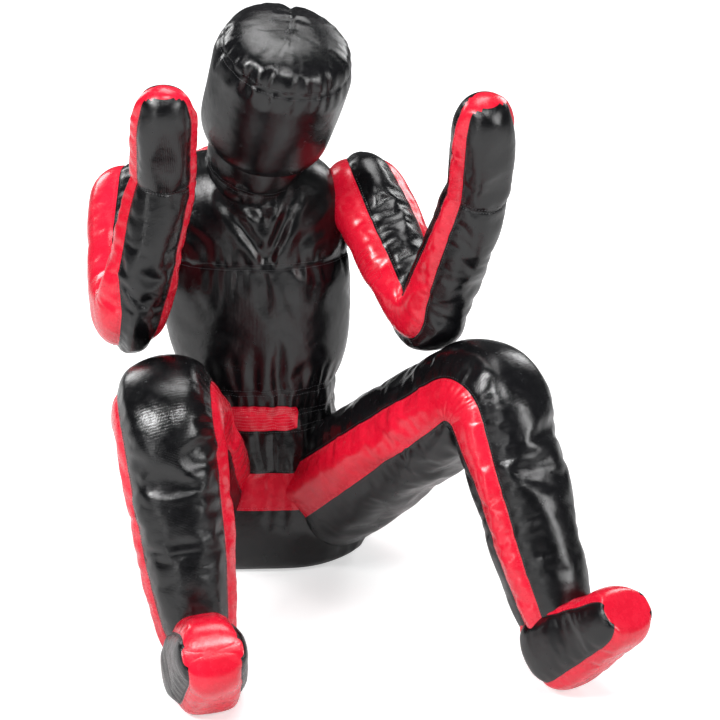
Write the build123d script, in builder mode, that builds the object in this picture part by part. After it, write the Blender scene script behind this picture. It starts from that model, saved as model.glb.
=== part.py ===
from build123d import *
import math
import os

# Seated grappling dummy: a sewn vinyl body stuffed with textile, sitting on the
# floor with knees drawn up and both forearms raised.  Millimetres, +Z up, the
# dummy faces -Y, its left side is +X, origin on the floor under the seat.
# Every limb is a tube of four sewn panels (two wide black, two narrow red)
# around a core of stuffing; each core is its own piece so the limb can fold.

# ---------------------------------------------------------- shared dimensions
skin = 2.0            # vinyl panel with its liner
gap = 1.0             # stuffing core to panel
core_inset = skin + gap
seam = 0.6            # half the seam gap between two panels
ball_gap = 1.2        # joint ball to the stuffing of the neighbouring segment
fold_margin = 2.0     # angular clearance at a fold, degrees
inner_max = 88.0      # how far a segment reaches on the closing side, degrees
outer_max = 112.0     # how far a segment wraps past its fold on the stretched side, degrees
red_half = 30.0       # half the angle covered by a red side panel, degrees
end_margin = 5.0      # how far the panel cutters overrun an end of a tube

upper_arm_len = 245.0
forearm_len = 242.0
hand_len = 163.0
thigh_len = 430.0
shin_len = 350.0
elbow_overlap = 22.0  # how far both arm tubes run past the elbow before the fold is cut
knee_overlap = 30.0

shoulder_ball = 50.0  # joint ball radii
hip_ball = 92.0
elbow_ball = 43.5
wrist_ball = 34.0
knee_ball = 63.5
ankle_ball = 50.0

# joint positions, and the directions in which the bones leave them
arms = {
    "left": dict(
        shoulder=Vector(160, 20, 582),
        upper=Vector(0.379, -0.700, -0.604).normalized(),
        fore=Vector(0.261, -0.286, 0.922).normalized(),
        hand=Vector(0.025, -0.395, 0.920).normalized(),
    ),
    "right": dict(
        shoulder=Vector(-190, 12, 570),
        upper=Vector(0.036, -0.852, -0.524).normalized(),
        fore=Vector(0.254, -0.072, 0.964).normalized(),
        hand=Vector(0.072, -0.468, 0.881).normalized(),
    ),
}
# heel: extra length of the foot behind the ankle
legs = {
    "left": dict(
        hip=Vector(108, -30, 118),
        thigh=Vector(0.539, -0.546, 0.641).normalized(),
        shin=Vector(0.249, -0.440, -0.862).normalized(),
        foot=Vector(0.509, -0.467, 0.722).normalized(),
        heel=32.0,
    ),
    "right": dict(
        hip=Vector(-108, -30, 118),
        thigh=Vector(-0.021, -0.741, 0.672).normalized(),
        shin=Vector(0.133, -0.289, -0.948).normalized(),
        foot=Vector(0.050, -0.860, 0.510).normalized(),
        heel=0.0,
    ),
}

# travel from this pose to the limit, which shapes the fold clearances:
# (closing, opening), degrees
elbow_travel = (15.0, 60.0)
wrist_travel = (30.0, 30.0)
knee_travel = (12.0, 60.0)
hip_spread_travel = 10.0

# (distance along the bone, half width along the fold axis, half depth)
upper_arm_sections = [
    (24, 50, 48), (90, 55, 53), (170, 52, 50),
    (upper_arm_len, 49, 47), (upper_arm_len + elbow_overlap, 49, 47),
]
forearm_sections = [
    (-elbow_overlap, 49, 47), (0, 49, 47), (80, 49, 45), (165, 47, 42), (forearm_len, 45, 38),
]
hand_sections = [(0, 45, 38), (60, 46, 36), (110, 43, 33), (142, 33, 26), (hand_len, 13, 11)]
thigh_sections = [
    (20, 86, 86), (140, 84, 84), (290, 80, 76),
    (thigh_len, 78, 70), (thigh_len + knee_overlap, 78, 69),
]
shin_sections = [
    (-knee_overlap, 78, 68), (0, 78, 68), (100, 71, 64), (220, 64, 60), (shin_len, 58, 56),
]

os.makedirs("parts", exist_ok=True)


# -------------------------------------------------------------------- helpers
def finish(builder, name):
    builder.part.label = name
    export_step(builder.part, f"parts/{name}.step")


def square_to(vector, axis):
    """Unit vector nearest to the given one that is square to the axis."""
    return (vector - axis * vector.dot(axis)).normalized()


def polar(radius, degrees, start=(0, 0)):
    angle = math.radians(degrees)
    return (start[0] + radius * math.cos(angle), start[1] + radius * math.sin(angle))


def ball(centre, radius, mode=Mode.ADD):
    with Locations(centre):
        Sphere(radius, mode=mode)


def shrink(sections, amount):
    return [(distance, width - amount, depth - amount) for distance, width, depth in sections]


# A bone is a plane at its root: normal along the bone, x along the fold axis.
def tube(bone, sections, mode=Mode.ADD):
    rings = []
    for distance, half_width, half_depth in sections:
        with BuildSketch(bone.offset(distance)) as ring:
            Ellipse(half_width, half_depth)
        rings.append(ring.sketch)
    loft(rings, mode=mode)


def rounded_loft(sections, base, centre_y, inset, mode, low_shift, high_shift):
    """Torso form through (height, half width, half depth, corner radius) sections.

    centre_y gives a section's centre from its half depth; the shifts move the end sections.
    """
    rows = []
    for n, (height, half_width, half_depth, radius) in enumerate(sections):
        if n == 0:
            height += low_shift
        if n == len(sections) - 1:
            height += high_shift
        with BuildSketch(base.offset(height)) as row:
            with Locations((0, centre_y(half_depth))):
                RectangleRounded(2 * (half_width - inset), 2 * (half_depth - inset), radius - inset)
        rows.append(row.sketch)
    loft(rows, mode=mode)


class Fold:
    """A fold between two bones: its axis, and the clearance wedge of either side."""

    apex = 1.5        # wedge tip to fold axis
    reach = 320       # far enough to pass through any limb
    half_length = 170

    def __init__(self, point, toward_parent, toward_child, travel, axis=None):
        self.point = point
        self.axis = (axis or toward_parent.cross(toward_child)).normalized()
        angle = math.degrees(math.acos(max(-1, min(1, toward_parent.dot(toward_child)))))
        closing, opening = travel
        self.inner = min(inner_max, (angle - closing) / 2 - fold_margin)
        self.outer = min(outer_max, (360 - angle - opening) / 2 - fold_margin)
        self.directions = {"parent": toward_parent, "child": toward_child}

    def wedge(self, side):
        """Plane across the fold axis and the outline to clear from this side's segment."""
        own = self.directions[side]
        other = self.directions["child" if side == "parent" else "parent"]
        plane = Plane(origin=self.point, x_dir=square_to(own, self.axis), z_dir=self.axis)
        sign = 1 if other.dot(plane.y_dir) > 0 else -1
        angles = [
            self.inner, (self.inner + 180) / 2, 180,
            180 + (180 - self.outer) / 2, 360 - self.outer,
        ]
        return plane, [(self.apex, 0)] + [polar(self.reach, a * sign) for a in angles]


def cut_folds(folds):
    """Cuts each fold's clearance wedge from the part being built."""
    for fold, side in folds:
        plane, points = fold.wedge(side)
        with BuildSketch(plane) as notch:
            Polygon(*points)
        extrude(notch.sketch, amount=Fold.half_length, both=True, mode=Mode.SUBTRACT)


def sector_faces(kind):
    """Two opposite sectors of the tube: the wide black pair or the narrow red pair."""
    reach = 300
    x, y = polar(reach, red_half)
    for sign in (1, -1):
        if kind == "black":
            edge = sign * (seam + y)
            Polygon((0, sign * seam), (x, edge), (0, sign * 2 * reach), (-x, edge))
        else:
            edge = sign * (seam + x)
            Polygon((sign * seam, 0), (edge, y), (edge, -y))


def joint_ball(name, centre, radius):
    with BuildPart() as core:
        ball(centre, radius)
    finish(core, name)


def limb_stuffing(name, bone, sections, folds, root_ball, tip_ball, trim=None):
    """Core hollowed for the ball at its root and carrying the ball at its tip."""
    with BuildPart() as core:
        tube(bone, shrink(sections, core_inset))
        cut_folds(folds)
        if trim:
            trim()
        root, radius = root_ball
        ball(root, radius + ball_gap, Mode.SUBTRACT)
        ball(*tip_ball)
    finish(core, name)


def limb_panels(name, bone, sections, folds, root_ball=None, trim=None, root_trim=-end_margin):
    """The black pair and the red pair, starting root_trim past the first section."""
    low = sections[0][0] + root_trim
    high = sections[-1][0] + end_margin
    for kind in ("black", "red"):
        with BuildPart() as shell:
            tube(bone, sections)
            tube(bone, shrink(sections, skin), Mode.SUBTRACT)
            with BuildSketch(bone.offset(low)):
                sector_faces(kind)
            extrude(amount=high - low, mode=Mode.INTERSECT)
            cut_folds(folds)
            if trim:
                trim()
            if root_ball:
                root, radius = root_ball
                ball(root, radius + skin + ball_gap, Mode.SUBTRACT)
        finish(shell, f"{name}_{kind}_panels")


# ----------------------------------------------------------------------- arms
hand_core_inset = core_inset + 0.4
hand_core_sections = [(38, 45, 37)] + hand_sections[1:-1] + [(hand_len - 3, 13, 11)]
hand_cavity_sections = (
    [(-1, 43, 36)] + shrink(hand_sections[1:-1], skin) + [(hand_len - skin, 10, 8)]
)
hand_black_end = 133.0     # black panels stop here, short of the fingertips
hand_red_tip_start = 134.5  # beyond this the red band covers the whole tip
hand_band_overlap = 1.2    # red cutters cross the middle of the hand by this much
cutter_reach, cutter_rise, cutter_top = 300, 172, 400


def hand_shell(bone):
    tube(bone, hand_sections)
    tube(bone, hand_cavity_sections, Mode.SUBTRACT)


def build_hand(side, bone, folds):
    with BuildPart() as core:
        tube(bone, shrink(hand_core_sections, hand_core_inset))
    finish(core, f"{side}_hand_stuffing")

    with BuildPart() as black:
        hand_shell(bone)
        with BuildSketch(bone.offset(-end_margin)):
            sector_faces("black")
        extrude(amount=hand_black_end + end_margin, mode=Mode.INTERSECT)
        cut_folds(folds)
    finish(black, f"{side}_hand_black_panels")

    # the red band runs up one edge of the hand, over the tip and down the other
    with BuildPart() as red:
        hand_shell(bone)
        with BuildSketch(bone.offset(-end_margin)):
            for sign in (1, -1):
                with BuildLine():
                    Polyline(
                        (0, -hand_band_overlap * sign),
                        (cutter_reach, cutter_rise * sign), (cutter_reach, cutter_top * sign),
                        (-cutter_reach, cutter_top * sign), (-cutter_reach, cutter_rise * sign),
                        close=True,
                    )
                make_face()
        extrude(amount=hand_red_tip_start + end_margin, mode=Mode.SUBTRACT)
        cut_folds(folds)
    finish(red, f"{side}_hand_red_band")


def build_arm(side, shoulder, upper, fore, hand):
    elbow = shoulder + upper * upper_arm_len
    wrist = elbow + fore * forearm_len
    elbow_fold = Fold(elbow, -upper, fore, elbow_travel)
    across = elbow_fold.axis
    # the wrist folds about an axis parallel to the elbow's
    wrist_fold = Fold(wrist, -fore, hand, wrist_travel, axis=across)
    upper_bone = Plane(origin=shoulder, x_dir=across, z_dir=upper)
    fore_bone = Plane(origin=elbow, x_dir=across, z_dir=fore)
    hand_bone = Plane(origin=wrist, x_dir=square_to(across, hand), z_dir=hand)

    joint_ball(f"{side}_shoulder_stuffing", shoulder, shoulder_ball)

    name = f"{side}_upper_arm"
    folds = [(elbow_fold, "parent")]
    root_ball = (shoulder, shoulder_ball)
    limb_stuffing(
        f"{name}_stuffing", upper_bone, upper_arm_sections, folds, root_ball, (elbow, elbow_ball)
    )
    limb_panels(name, upper_bone, upper_arm_sections, folds, root_ball, root_trim=14)

    name = f"{side}_forearm"
    folds = [(elbow_fold, "child"), (wrist_fold, "parent")]
    limb_stuffing(
        f"{name}_stuffing", fore_bone, forearm_sections, folds,
        (elbow, elbow_ball), (wrist, wrist_ball),
    )
    limb_panels(name, fore_bone, forearm_sections, folds)

    build_hand(side, hand_bone, [(wrist_fold, "child")])


for side, arm in arms.items():
    build_arm(side, **arm)

# ----------------------------------------------------------------------- legs
thigh_back_cut = 13.0     # the thigh starts this far in front of the hip centre
shin_end_cut = 14.0       # the shin stops this far short of the ankle
foot_half_width = 48.0
foot_corner = 10.0
foot_cutter_half = 60.0   # wider than the foot


def foot_profile(inset, heel):
    """Side view of the foot, x towards the toe, y up the shin, origin at the ankle."""
    Polygon(
        (-30 - heel + inset, -30 - inset),
        (124 - inset / 2, -22 - inset),
        (152 - inset, -36),
        (155 - inset, -58),
        (132 - inset / 2, -73 + inset),
        (-12 - heel + inset / 2, -75 + inset),
        (-35 - heel + inset, -56),
    )
    fillet(vertices(), foot_corner)


def build_foot(side, ankle, shin, toe, heel):
    profile_plane = Plane(origin=ankle, x_dir=toe, z_dir=shin.cross(toe).normalized())

    with BuildPart() as core:
        with BuildSketch(profile_plane):
            foot_profile(core_inset, heel)
        extrude(amount=foot_half_width - core_inset, both=True)
        ball(ankle, ankle_ball + ball_gap, Mode.SUBTRACT)
    finish(core, f"{side}_foot_stuffing")

    with BuildPart() as sides:
        for offset in (foot_half_width - skin, -foot_half_width):
            with BuildSketch(profile_plane.offset(offset)):
                foot_profile(0, heel)
            extrude(amount=skin)
    finish(sides, f"{side}_foot_side_panels")

    with BuildPart() as band:
        with BuildSketch(profile_plane):
            foot_profile(0, heel)
        extrude(amount=foot_half_width - skin - seam, both=True)
        with BuildSketch(profile_plane):
            foot_profile(skin, heel)
        extrude(amount=foot_cutter_half, both=True, mode=Mode.SUBTRACT)
        # open over the ankle and down the back of the heel
        with BuildSketch(profile_plane):
            Polygon((58, 0), (58, -46), (-18, -46), (-18, -60), (-90, -60), (-90, 0))
        extrude(amount=foot_cutter_half, both=True, mode=Mode.SUBTRACT)
    finish(band, f"{side}_foot_red_band")


def build_leg(side, hip, thigh, shin, foot, heel):
    knee = hip + thigh * thigh_len
    ankle = knee + shin * shin_len
    knee_fold = Fold(knee, -thigh, shin, knee_travel)
    thigh_bone = Plane(origin=hip, x_dir=knee_fold.axis, z_dir=thigh)
    shin_bone = Plane(origin=knee, x_dir=knee_fold.axis, z_dir=shin)

    def groin_trim():
        # room for the belly above the top of the thigh
        with Locations((0, 102, 308)):
            Box(600, 400, 200, mode=Mode.SUBTRACT)
        forward = Vector(thigh.X, thigh.Y, 0).normalized()
        with BuildSketch(Plane(origin=hip + forward * thigh_back_cut, z_dir=-forward)) as behind:
            Circle(200)
        extrude(behind.sketch, amount=200, mode=Mode.SUBTRACT)

    def ankle_trim():
        # the shin stops square, short of the ankle, so the foot can nod
        with BuildSketch(Plane(origin=ankle - shin * shin_end_cut, z_dir=shin)) as cut:
            Circle(150)
        extrude(cut.sketch, amount=90, mode=Mode.SUBTRACT)

    joint_ball(f"{side}_hip_stuffing", hip, hip_ball)

    name = f"{side}_thigh"
    folds = [(knee_fold, "parent")]
    root_ball = (hip, hip_ball)
    limb_stuffing(
        f"{name}_stuffing", thigh_bone, thigh_sections, folds,
        root_ball, (knee, knee_ball), groin_trim,
    )
    limb_panels(name, thigh_bone, thigh_sections, folds, root_ball, groin_trim, root_trim=20)

    name = f"{side}_shin"
    folds = [(knee_fold, "child")]
    limb_stuffing(
        f"{name}_stuffing", shin_bone, shin_sections, folds,
        (knee, knee_ball), (ankle, ankle_ball), ankle_trim,
    )
    limb_panels(name, shin_bone, shin_sections, folds, trim=ankle_trim)

    build_foot(side, ankle, shin, foot, heel)


for side, leg in legs.items():
    build_leg(side, **leg)

# -------------------------------------------------------- chest and neck frames
twist_point = Vector(0, 6, 300)         # seam between waist band and chest
chest_top = Vector(-14, 10, 645)
chest_dir = (chest_top - twist_point).normalized()
chest_len = (chest_top - twist_point).length
chest_across = square_to(Vector(1, 0, 0), chest_dir)
chest_back = chest_dir.cross(chest_across)
# local x to the dummy's left, y to its back, z up the chest
chest_frame = Plane(origin=twist_point, x_dir=chest_across, z_dir=chest_dir)

neck_point = Vector(-8, -18, 632)
head_axis = Vector(0.254, -0.42, 0.873).normalized()
neck_ball_centre = neck_point + head_axis * 14
neck_bone = Plane(
    origin=neck_point, x_dir=square_to(Vector(1, 0, 0), head_axis), z_dir=head_axis
)

# ---------------------------------------------------------------------- chest
back_face = 84.0      # local y of the back, which stays flat for the zip
# (height above the twist seam, half width, half depth, corner radius)
chest_sections = [
    (3, 114, 78, 56), (60, 128, 82, 62), (150, 137, 86, 66),
    (245, 137, 85, 64), (315, 133, 80, 58), (chest_len, 126, 72, 50),
]
yoke_height = 200.0
side_seam = 34.0      # the front panels wrap round the ribs as far back as this
zip_slit = 8.0        # half the opening between the back panels
beyond = 300          # past the chest on any side
below, above = -20, 500   # past the chest's lower and upper ends

neck_recess = 87.0
shoulder_recess = shoulder_ball + 2.2
swing_half_width = 58.0   # half the width of the recess for the swinging arm
swing_reach = 330.0
swing_overrun = 60.0      # how much further out from the chest the recess is cut
swing_back, swing_raise = 8.0, 56.0   # arm travel below and above its pose, degrees
hinge_yaw = 20.0          # the swing hinge is turned this far to the back, degrees


def chest_solid(inset, mode=Mode.ADD, low_shift=0, high_shift=0):
    rounded_loft(
        chest_sections, chest_frame, lambda half_depth: back_face - half_depth,
        inset, mode, low_shift, high_shift,
    )


def chest_shell():
    chest_solid(0)
    chest_solid(skin, Mode.SUBTRACT, low_shift=-2, high_shift=-skin)


def shoulder_hinge(arm):
    """Level-ish axis the arm swings up about, pointing away from the chest."""
    side = 1 if arm["shoulder"].X > 0 else -1
    yaw = math.radians(hinge_yaw)
    return square_to(Vector(side * math.cos(yaw), math.sin(yaw), 0), arm["upper"])


def chest_clearances():
    ball(neck_ball_centre, neck_recess, Mode.SUBTRACT)
    for arm in arms.values():
        shoulder = arm["shoulder"]
        ball(shoulder, shoulder_recess, Mode.SUBTRACT)
        # recess swept by the root of the arm as it is raised
        hinge = shoulder_hinge(arm)
        half = swing_half_width
        swing_plane = Plane(origin=shoulder - hinge * half, x_dir=(0, 0, 1), z_dir=hinge)
        down = swing_plane.to_local_coords(shoulder + arm["upper"])
        rest = math.degrees(math.atan2(down.Y, down.X))
        turn = 1 if swing_plane.y_dir.dot(Vector(0, -1, 0)) > 0 else -1
        low = rest + swing_back * turn
        high = rest - swing_raise * turn
        low_root = polar(half, low + 90 * turn)
        high_root = polar(half, high - 90 * turn)
        with BuildSketch(swing_plane) as sweep:
            Polygon(
                low_root,
                polar(swing_reach, low, low_root),
                polar(1.4 * swing_reach, (low + high) / 2),
                polar(swing_reach, high, high_root),
                high_root,
            )
        extrude(sweep.sketch, amount=2 * half + swing_overrun, mode=Mode.SUBTRACT)


def chest_block(width, y_range, z_range, mode=Mode.ADD):
    """Block in the chest frame, centred across it."""
    y_low, y_high = y_range
    z_low, z_high = z_range
    with BuildSketch(chest_frame.offset(z_low)) as block:
        with Locations((0, (y_low + y_high) / 2)):
            Rectangle(width, y_high - y_low)
    extrude(block.sketch, amount=z_high - z_low, mode=mode)


with BuildPart() as chest_core:
    chest_solid(core_inset, high_shift=-core_inset)
    chest_clearances()
finish(chest_core, "chest_stuffing")

front_range = (-beyond, side_seam - seam)
with BuildPart() as yoke:
    chest_shell()
    chest_block(2 * beyond, front_range, (yoke_height + seam, above), Mode.INTERSECT)
    chest_clearances()
finish(yoke, "chest_yoke_panel")

with BuildPart() as chest_front:
    chest_shell()
    chest_block(2 * beyond, front_range, (below, yoke_height - seam), Mode.INTERSECT)
finish(chest_front, "chest_front_panel")

with BuildPart() as back_panels:
    chest_shell()
    chest_block(2 * beyond, (side_seam + seam, beyond), (below, above), Mode.INTERSECT)
    chest_block(2 * zip_slit, (-beyond, beyond), (below, above), Mode.SUBTRACT)
    chest_clearances()
finish(back_panels, "back_panels")

# ------------------------------------------------------------------------ zip
zip_low, zip_high = 20.0, 300.0
tape_overrun = 8.0
tape_width, tape_thickness = 30.0, 0.6
tape_centre = back_face - core_inset + 0.5
teeth_face = tape_centre + tape_thickness / 2 + 0.1   # front of the teeth, just off the tape
tooth_pitch = 4.0
tooth_length = tooth_pitch * 0.6
tooth_half, chain_half = 3.0, 1.6     # half widths at a tooth and between teeth
tooth_depth = 2.2
slider_low = zip_high - 14
pin_height = slider_low + 6.5
pin_y = teeth_face + 6.6              # centre of the bail, the pin and the pull
tab_half = 0.9                        # half the thickness of the pull tab


def chest_point(height, y):
    return twist_point + chest_dir * height + chest_back * y


with BuildPart() as tape:
    chest_block(
        tape_width,
        (tape_centre - tape_thickness / 2, tape_centre + tape_thickness / 2),
        (zip_low - tape_overrun, zip_high + tape_overrun),
    )
finish(tape, "zip_tape")

with BuildPart() as teeth:
    # this plane's y runs down the chest, so heights are negated
    tooth_plane = Plane(
        origin=chest_point(zip_low, teeth_face), x_dir=chest_across, z_dir=chest_back
    )
    outline = []
    for n in range(int((zip_high - zip_low) / tooth_pitch)):
        y = n * tooth_pitch
        outline += [
            (tooth_half, y), (tooth_half, y + tooth_length),
            (chain_half, y + tooth_length), (chain_half, y + tooth_pitch),
        ]
    outline += [(-x, y) for x, y in reversed(outline)]
    with BuildSketch(tooth_plane):
        with BuildLine():
            Polyline(*[(x, -y) for x, y in outline], close=True)
        make_face()
    extrude(amount=tooth_depth)
finish(teeth, "zip_teeth")

pin_plane = Plane(origin=chest_point(pin_height, pin_y), x_dir=chest_dir, z_dir=chest_across)

with BuildPart() as slider:
    chest_block(12, (teeth_face + 0.4, teeth_face + 4.8), (slider_low, slider_low + 13))
    # channel for the teeth
    chest_block(
        6.6, (teeth_face - 0.35, teeth_face + 2.55), (slider_low - 1, slider_low + 14),
        Mode.SUBTRACT,
    )
    # bail that carries the pull
    chest_block(3.2, (pin_y - 1.9, pin_y + 1.9), (slider_low + 3, slider_low + 10))
    with BuildSketch(pin_plane):
        Circle(1.3)
    extrude(amount=10, both=True, mode=Mode.SUBTRACT)
finish(slider, "zip_slider")

with BuildPart() as pull:
    # flat tab, forked round the bail
    chest_block(10.4, (pin_y - tab_half, pin_y + tab_half), (slider_low - 26, slider_low + 7.6))
    chest_block(4.6, (pin_y - 3, pin_y + 3), (slider_low - 4, slider_low + 10), Mode.SUBTRACT)
    # pin through the bail
    with BuildSketch(pin_plane):
        Circle(0.9)
    extrude(amount=5.2, both=True)
finish(pull, "zip_pull")

# ----------------------------------------------------------------- waist band
# (height above the floor, half width, half depth, corner radius)
waist_sections = [(236, 112, 76, 54), (262, 112, 77, 55), (295, 113, 78, 56)]


def waist_solid(inset, mode=Mode.ADD, low_shift=0, high_shift=0):
    rounded_loft(
        waist_sections, Plane.XY, lambda half_depth: twist_point.Y,
        inset, mode, low_shift, high_shift,
    )


with BuildPart() as waist_core:
    waist_solid(core_inset)
finish(waist_core, "abdomen_stuffing")

with BuildPart() as waist_band:
    waist_solid(0)
    waist_solid(skin, Mode.SUBTRACT, low_shift=-1, high_shift=1)
finish(waist_band, "waist_band")

with BuildPart() as patch:
    with BuildSketch(Plane(origin=(0, -71.5, 258), x_dir=(1, 0, 0), z_dir=(0, -1, 0))):
        RectangleRounded(104, 38, 9)
    extrude(amount=1.6)
finish(patch, "belly_patch")

# --------------------------------------------------------------------- pelvis
# (height above the floor, half width, half depth, corner radius)
pelvis_sections = [
    (0, 128, 84, 60), (34, 168, 118, 88), (90, 182, 122, 92),
    (150, 150, 104, 76), (202, 114, 78, 58),
]
pelvis_centre_y = 8.0
thigh_root_half = thigh_sections[0][1]
slot_floor = 27.0     # underside of the slots the thighs leave through
slot_length, slot_height = 300, 220
crotch_y = -46.0      # seam between the front pieces and the seat
band_top, band_low = 168.0, 112.0


def pelvis_solid(inset, mode=Mode.ADD, low_shift=0, high_shift=0):
    rounded_loft(
        pelvis_sections, Plane.XY, lambda half_depth: pelvis_centre_y,
        inset, mode, low_shift, high_shift,
    )


def hip_sockets(extra):
    """Room for the hip cores and for the thighs as they spread."""
    half = thigh_root_half + 1.5 + extra
    wide = half + slot_length * math.tan(math.radians(hip_spread_travel))
    for leg in legs.values():
        hip = leg["hip"]
        ball(hip, hip_ball + ball_gap + extra, Mode.SUBTRACT)
        forward = Vector(leg["thigh"].X, leg["thigh"].Y, 0).normalized()
        slot_plane = Plane(
            origin=(hip.X, hip.Y, slot_floor - extra), x_dir=forward, z_dir=(0, 0, 1)
        )
        with BuildSketch(slot_plane) as slot:
            Polygon((0, half), (slot_length, wide), (slot_length, -wide), (0, -half))
        extrude(slot.sketch, amount=slot_height, mode=Mode.SUBTRACT)


def pelvis_panel(name, back_edge, low, height, mode):
    """Pelvis skin kept within, or cleared of, a box in front of back_edge."""
    with BuildPart() as panel:
        pelvis_solid(0)
        pelvis_solid(skin, Mode.SUBTRACT, low_shift=skin, high_shift=1)
        with Locations((0, back_edge - 200, low + height / 2)):
            Box(600, 400, height, mode=mode)
        hip_sockets(1)
    finish(panel, name)


with BuildPart() as pelvis_core:
    pelvis_solid(core_inset, low_shift=core_inset)
    hip_sockets(0)
finish(pelvis_core, "pelvis_stuffing")

pelvis_panel("crotch_panel", crotch_y, band_top + seam, 400, Mode.INTERSECT)
pelvis_panel(
    "crotch_band", crotch_y, band_low + seam, band_top - band_low - 2 * seam, Mode.INTERSECT
)
pelvis_panel("seat_panel", crotch_y + seam, band_low - seam, 400, Mode.SUBTRACT)

# -------------------------------------------------------------- neck and head
neck_low, neck_high, neck_radius = 12.0, 56.0, 70.0
# (distance along the head axis, radius)
head_sections = [(62, 82), (84, 92), (150, 96), (226, 95)]
cap_sections = [(227, 95), (244, 88), (257, 66), (263, 30)]
cap_cavity_sections = [(226, 93), (242.5, 86), (255, 64), (261, 28)]
cap_core_sections = [(226, 92), (242, 85), (254, 63), (260, 27)]


def head_tube(sections, inset=0, mode=Mode.ADD):
    tube(neck_bone, shrink([(s, radius, radius) for s, radius in sections], inset), mode)


with BuildPart() as neck_core:
    with BuildSketch(neck_bone.offset(neck_low)):
        Circle(neck_radius - core_inset)
    extrude(amount=neck_high - neck_low)
    # rounded lower end, then the ball is cut level with the top of the neck
    ball(neck_ball_centre, neck_radius - core_inset - 1)
    with BuildSketch(neck_bone.offset(neck_high)):
        Circle(200)
    extrude(amount=60, mode=Mode.SUBTRACT)
finish(neck_core, "neck_stuffing")

with BuildPart() as neck_band:
    with BuildSketch(neck_bone.offset(neck_low)):
        Circle(neck_radius)
        Circle(neck_radius - skin, mode=Mode.SUBTRACT)
    extrude(amount=neck_high - neck_low)
finish(neck_band, "neck_band")

with BuildPart() as head_core:
    head_tube(head_sections, core_inset)
    head_tube(cap_core_sections)
finish(head_core, "head_stuffing")

with BuildPart() as head_wrap:
    head_tube(head_sections)
    head_tube(head_sections, skin, Mode.SUBTRACT)
finish(head_wrap, "head_side_panel")

with BuildPart() as head_cap:
    head_tube(cap_sections)
    head_tube(cap_cavity_sections, mode=Mode.SUBTRACT)
finish(head_cap, "head_cap")
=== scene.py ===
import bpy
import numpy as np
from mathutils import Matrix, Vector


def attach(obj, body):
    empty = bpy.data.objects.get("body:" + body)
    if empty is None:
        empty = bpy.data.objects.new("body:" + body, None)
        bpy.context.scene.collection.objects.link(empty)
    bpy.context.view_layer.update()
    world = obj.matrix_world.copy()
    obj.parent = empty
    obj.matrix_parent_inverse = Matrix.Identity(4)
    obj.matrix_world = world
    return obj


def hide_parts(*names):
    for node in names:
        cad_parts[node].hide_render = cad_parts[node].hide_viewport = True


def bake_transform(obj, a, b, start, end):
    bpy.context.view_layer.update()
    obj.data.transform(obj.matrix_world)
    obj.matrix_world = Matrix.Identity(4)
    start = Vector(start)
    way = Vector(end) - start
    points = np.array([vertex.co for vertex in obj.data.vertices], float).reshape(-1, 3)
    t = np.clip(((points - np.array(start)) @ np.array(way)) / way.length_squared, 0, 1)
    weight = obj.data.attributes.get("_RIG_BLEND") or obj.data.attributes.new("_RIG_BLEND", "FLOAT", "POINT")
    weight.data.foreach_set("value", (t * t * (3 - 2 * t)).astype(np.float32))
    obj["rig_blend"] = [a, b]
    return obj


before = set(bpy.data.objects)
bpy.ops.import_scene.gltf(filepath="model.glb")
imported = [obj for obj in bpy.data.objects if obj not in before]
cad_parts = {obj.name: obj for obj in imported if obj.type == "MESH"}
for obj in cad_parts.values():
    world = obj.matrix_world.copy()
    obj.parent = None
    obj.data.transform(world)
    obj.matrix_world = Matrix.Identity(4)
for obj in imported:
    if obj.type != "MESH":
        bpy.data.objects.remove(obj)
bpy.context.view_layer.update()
import math

import bmesh
import bpy
import numpy as np
from mathutils import Vector, noise

rng = np.random.default_rng(7)

# ------------------------------------------------------------------ skeleton
def vec(*a):
    return np.array(a, float)


def unit(v):
    v = np.asarray(v, float)
    return v / np.linalg.norm(v)


MM = 0.001
ARMS = {
    "left": dict(root=vec(160, 20, 582), d0=unit((0.379, -0.700, -0.604)), d1=unit((0.261, -0.286, 0.922)), d2=unit((0.025, -0.395, 0.920))),
    "right": dict(root=vec(-190, 12, 570), d0=unit((0.036, -0.852, -0.524)), d1=unit((0.254, -0.072, 0.964)), d2=unit((0.070, -0.473, 0.878))),
}
LEGS = {
    "left": dict(root=vec(108, -30, 118), d0=unit((0.539, -0.546, 0.641)), d1=unit((0.249, -0.440, -0.862)), d2=unit((0.509, -0.467, 0.722))),
    "right": dict(root=vec(-108, -30, 118), d0=unit((-0.021, -0.741, 0.672)), d1=unit((0.133, -0.289, -0.948)), d2=unit((0.050, -0.860, 0.510))),
}
UPPER, FORE, HAND, THIGH, SHIN = 245.0, 242.0, 163.0, 430.0, 350.0
NECK = vec(-8, -18, 632)
HEAD_AXIS = unit((0.254, -0.42, 0.873))


def interp(x, table):
    xs = [r[0] for r in table]
    cols = np.array([r[1:] for r in table], float)
    # monotone smooth interpolation
    out = []
    x = np.asarray(x, float)
    for k in range(cols.shape[1]):
        out.append(pchip(xs, cols[:, k], x))
    return out


def pchip(xs, ys, x):
    xs, ys = np.asarray(xs, float), np.asarray(ys, float)
    h, d = np.diff(xs), np.diff(ys) / np.diff(xs)
    m = np.zeros_like(ys)
    for i in range(1, len(xs) - 1):
        if d[i - 1] * d[i] > 0:
            w1, w2 = 2 * h[i] + h[i - 1], h[i] + 2 * h[i - 1]
            m[i] = (w1 + w2) / (w1 / d[i - 1] + w2 / d[i])
    m[0], m[-1] = d[0], d[-1]
    x = np.clip(x, xs[0], xs[-1])
    i = np.clip(np.searchsorted(xs, x) - 1, 0, len(xs) - 2)
    t = (x - xs[i]) / h[i]
    return (
        (2 * t**3 - 3 * t**2 + 1) * ys[i] + (t**3 - 2 * t**2 + t) * h[i] * m[i]
        + (-2 * t**3 + 3 * t**2) * ys[i + 1] + (t**3 - t**2) * h[i] * m[i + 1]
    )


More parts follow.
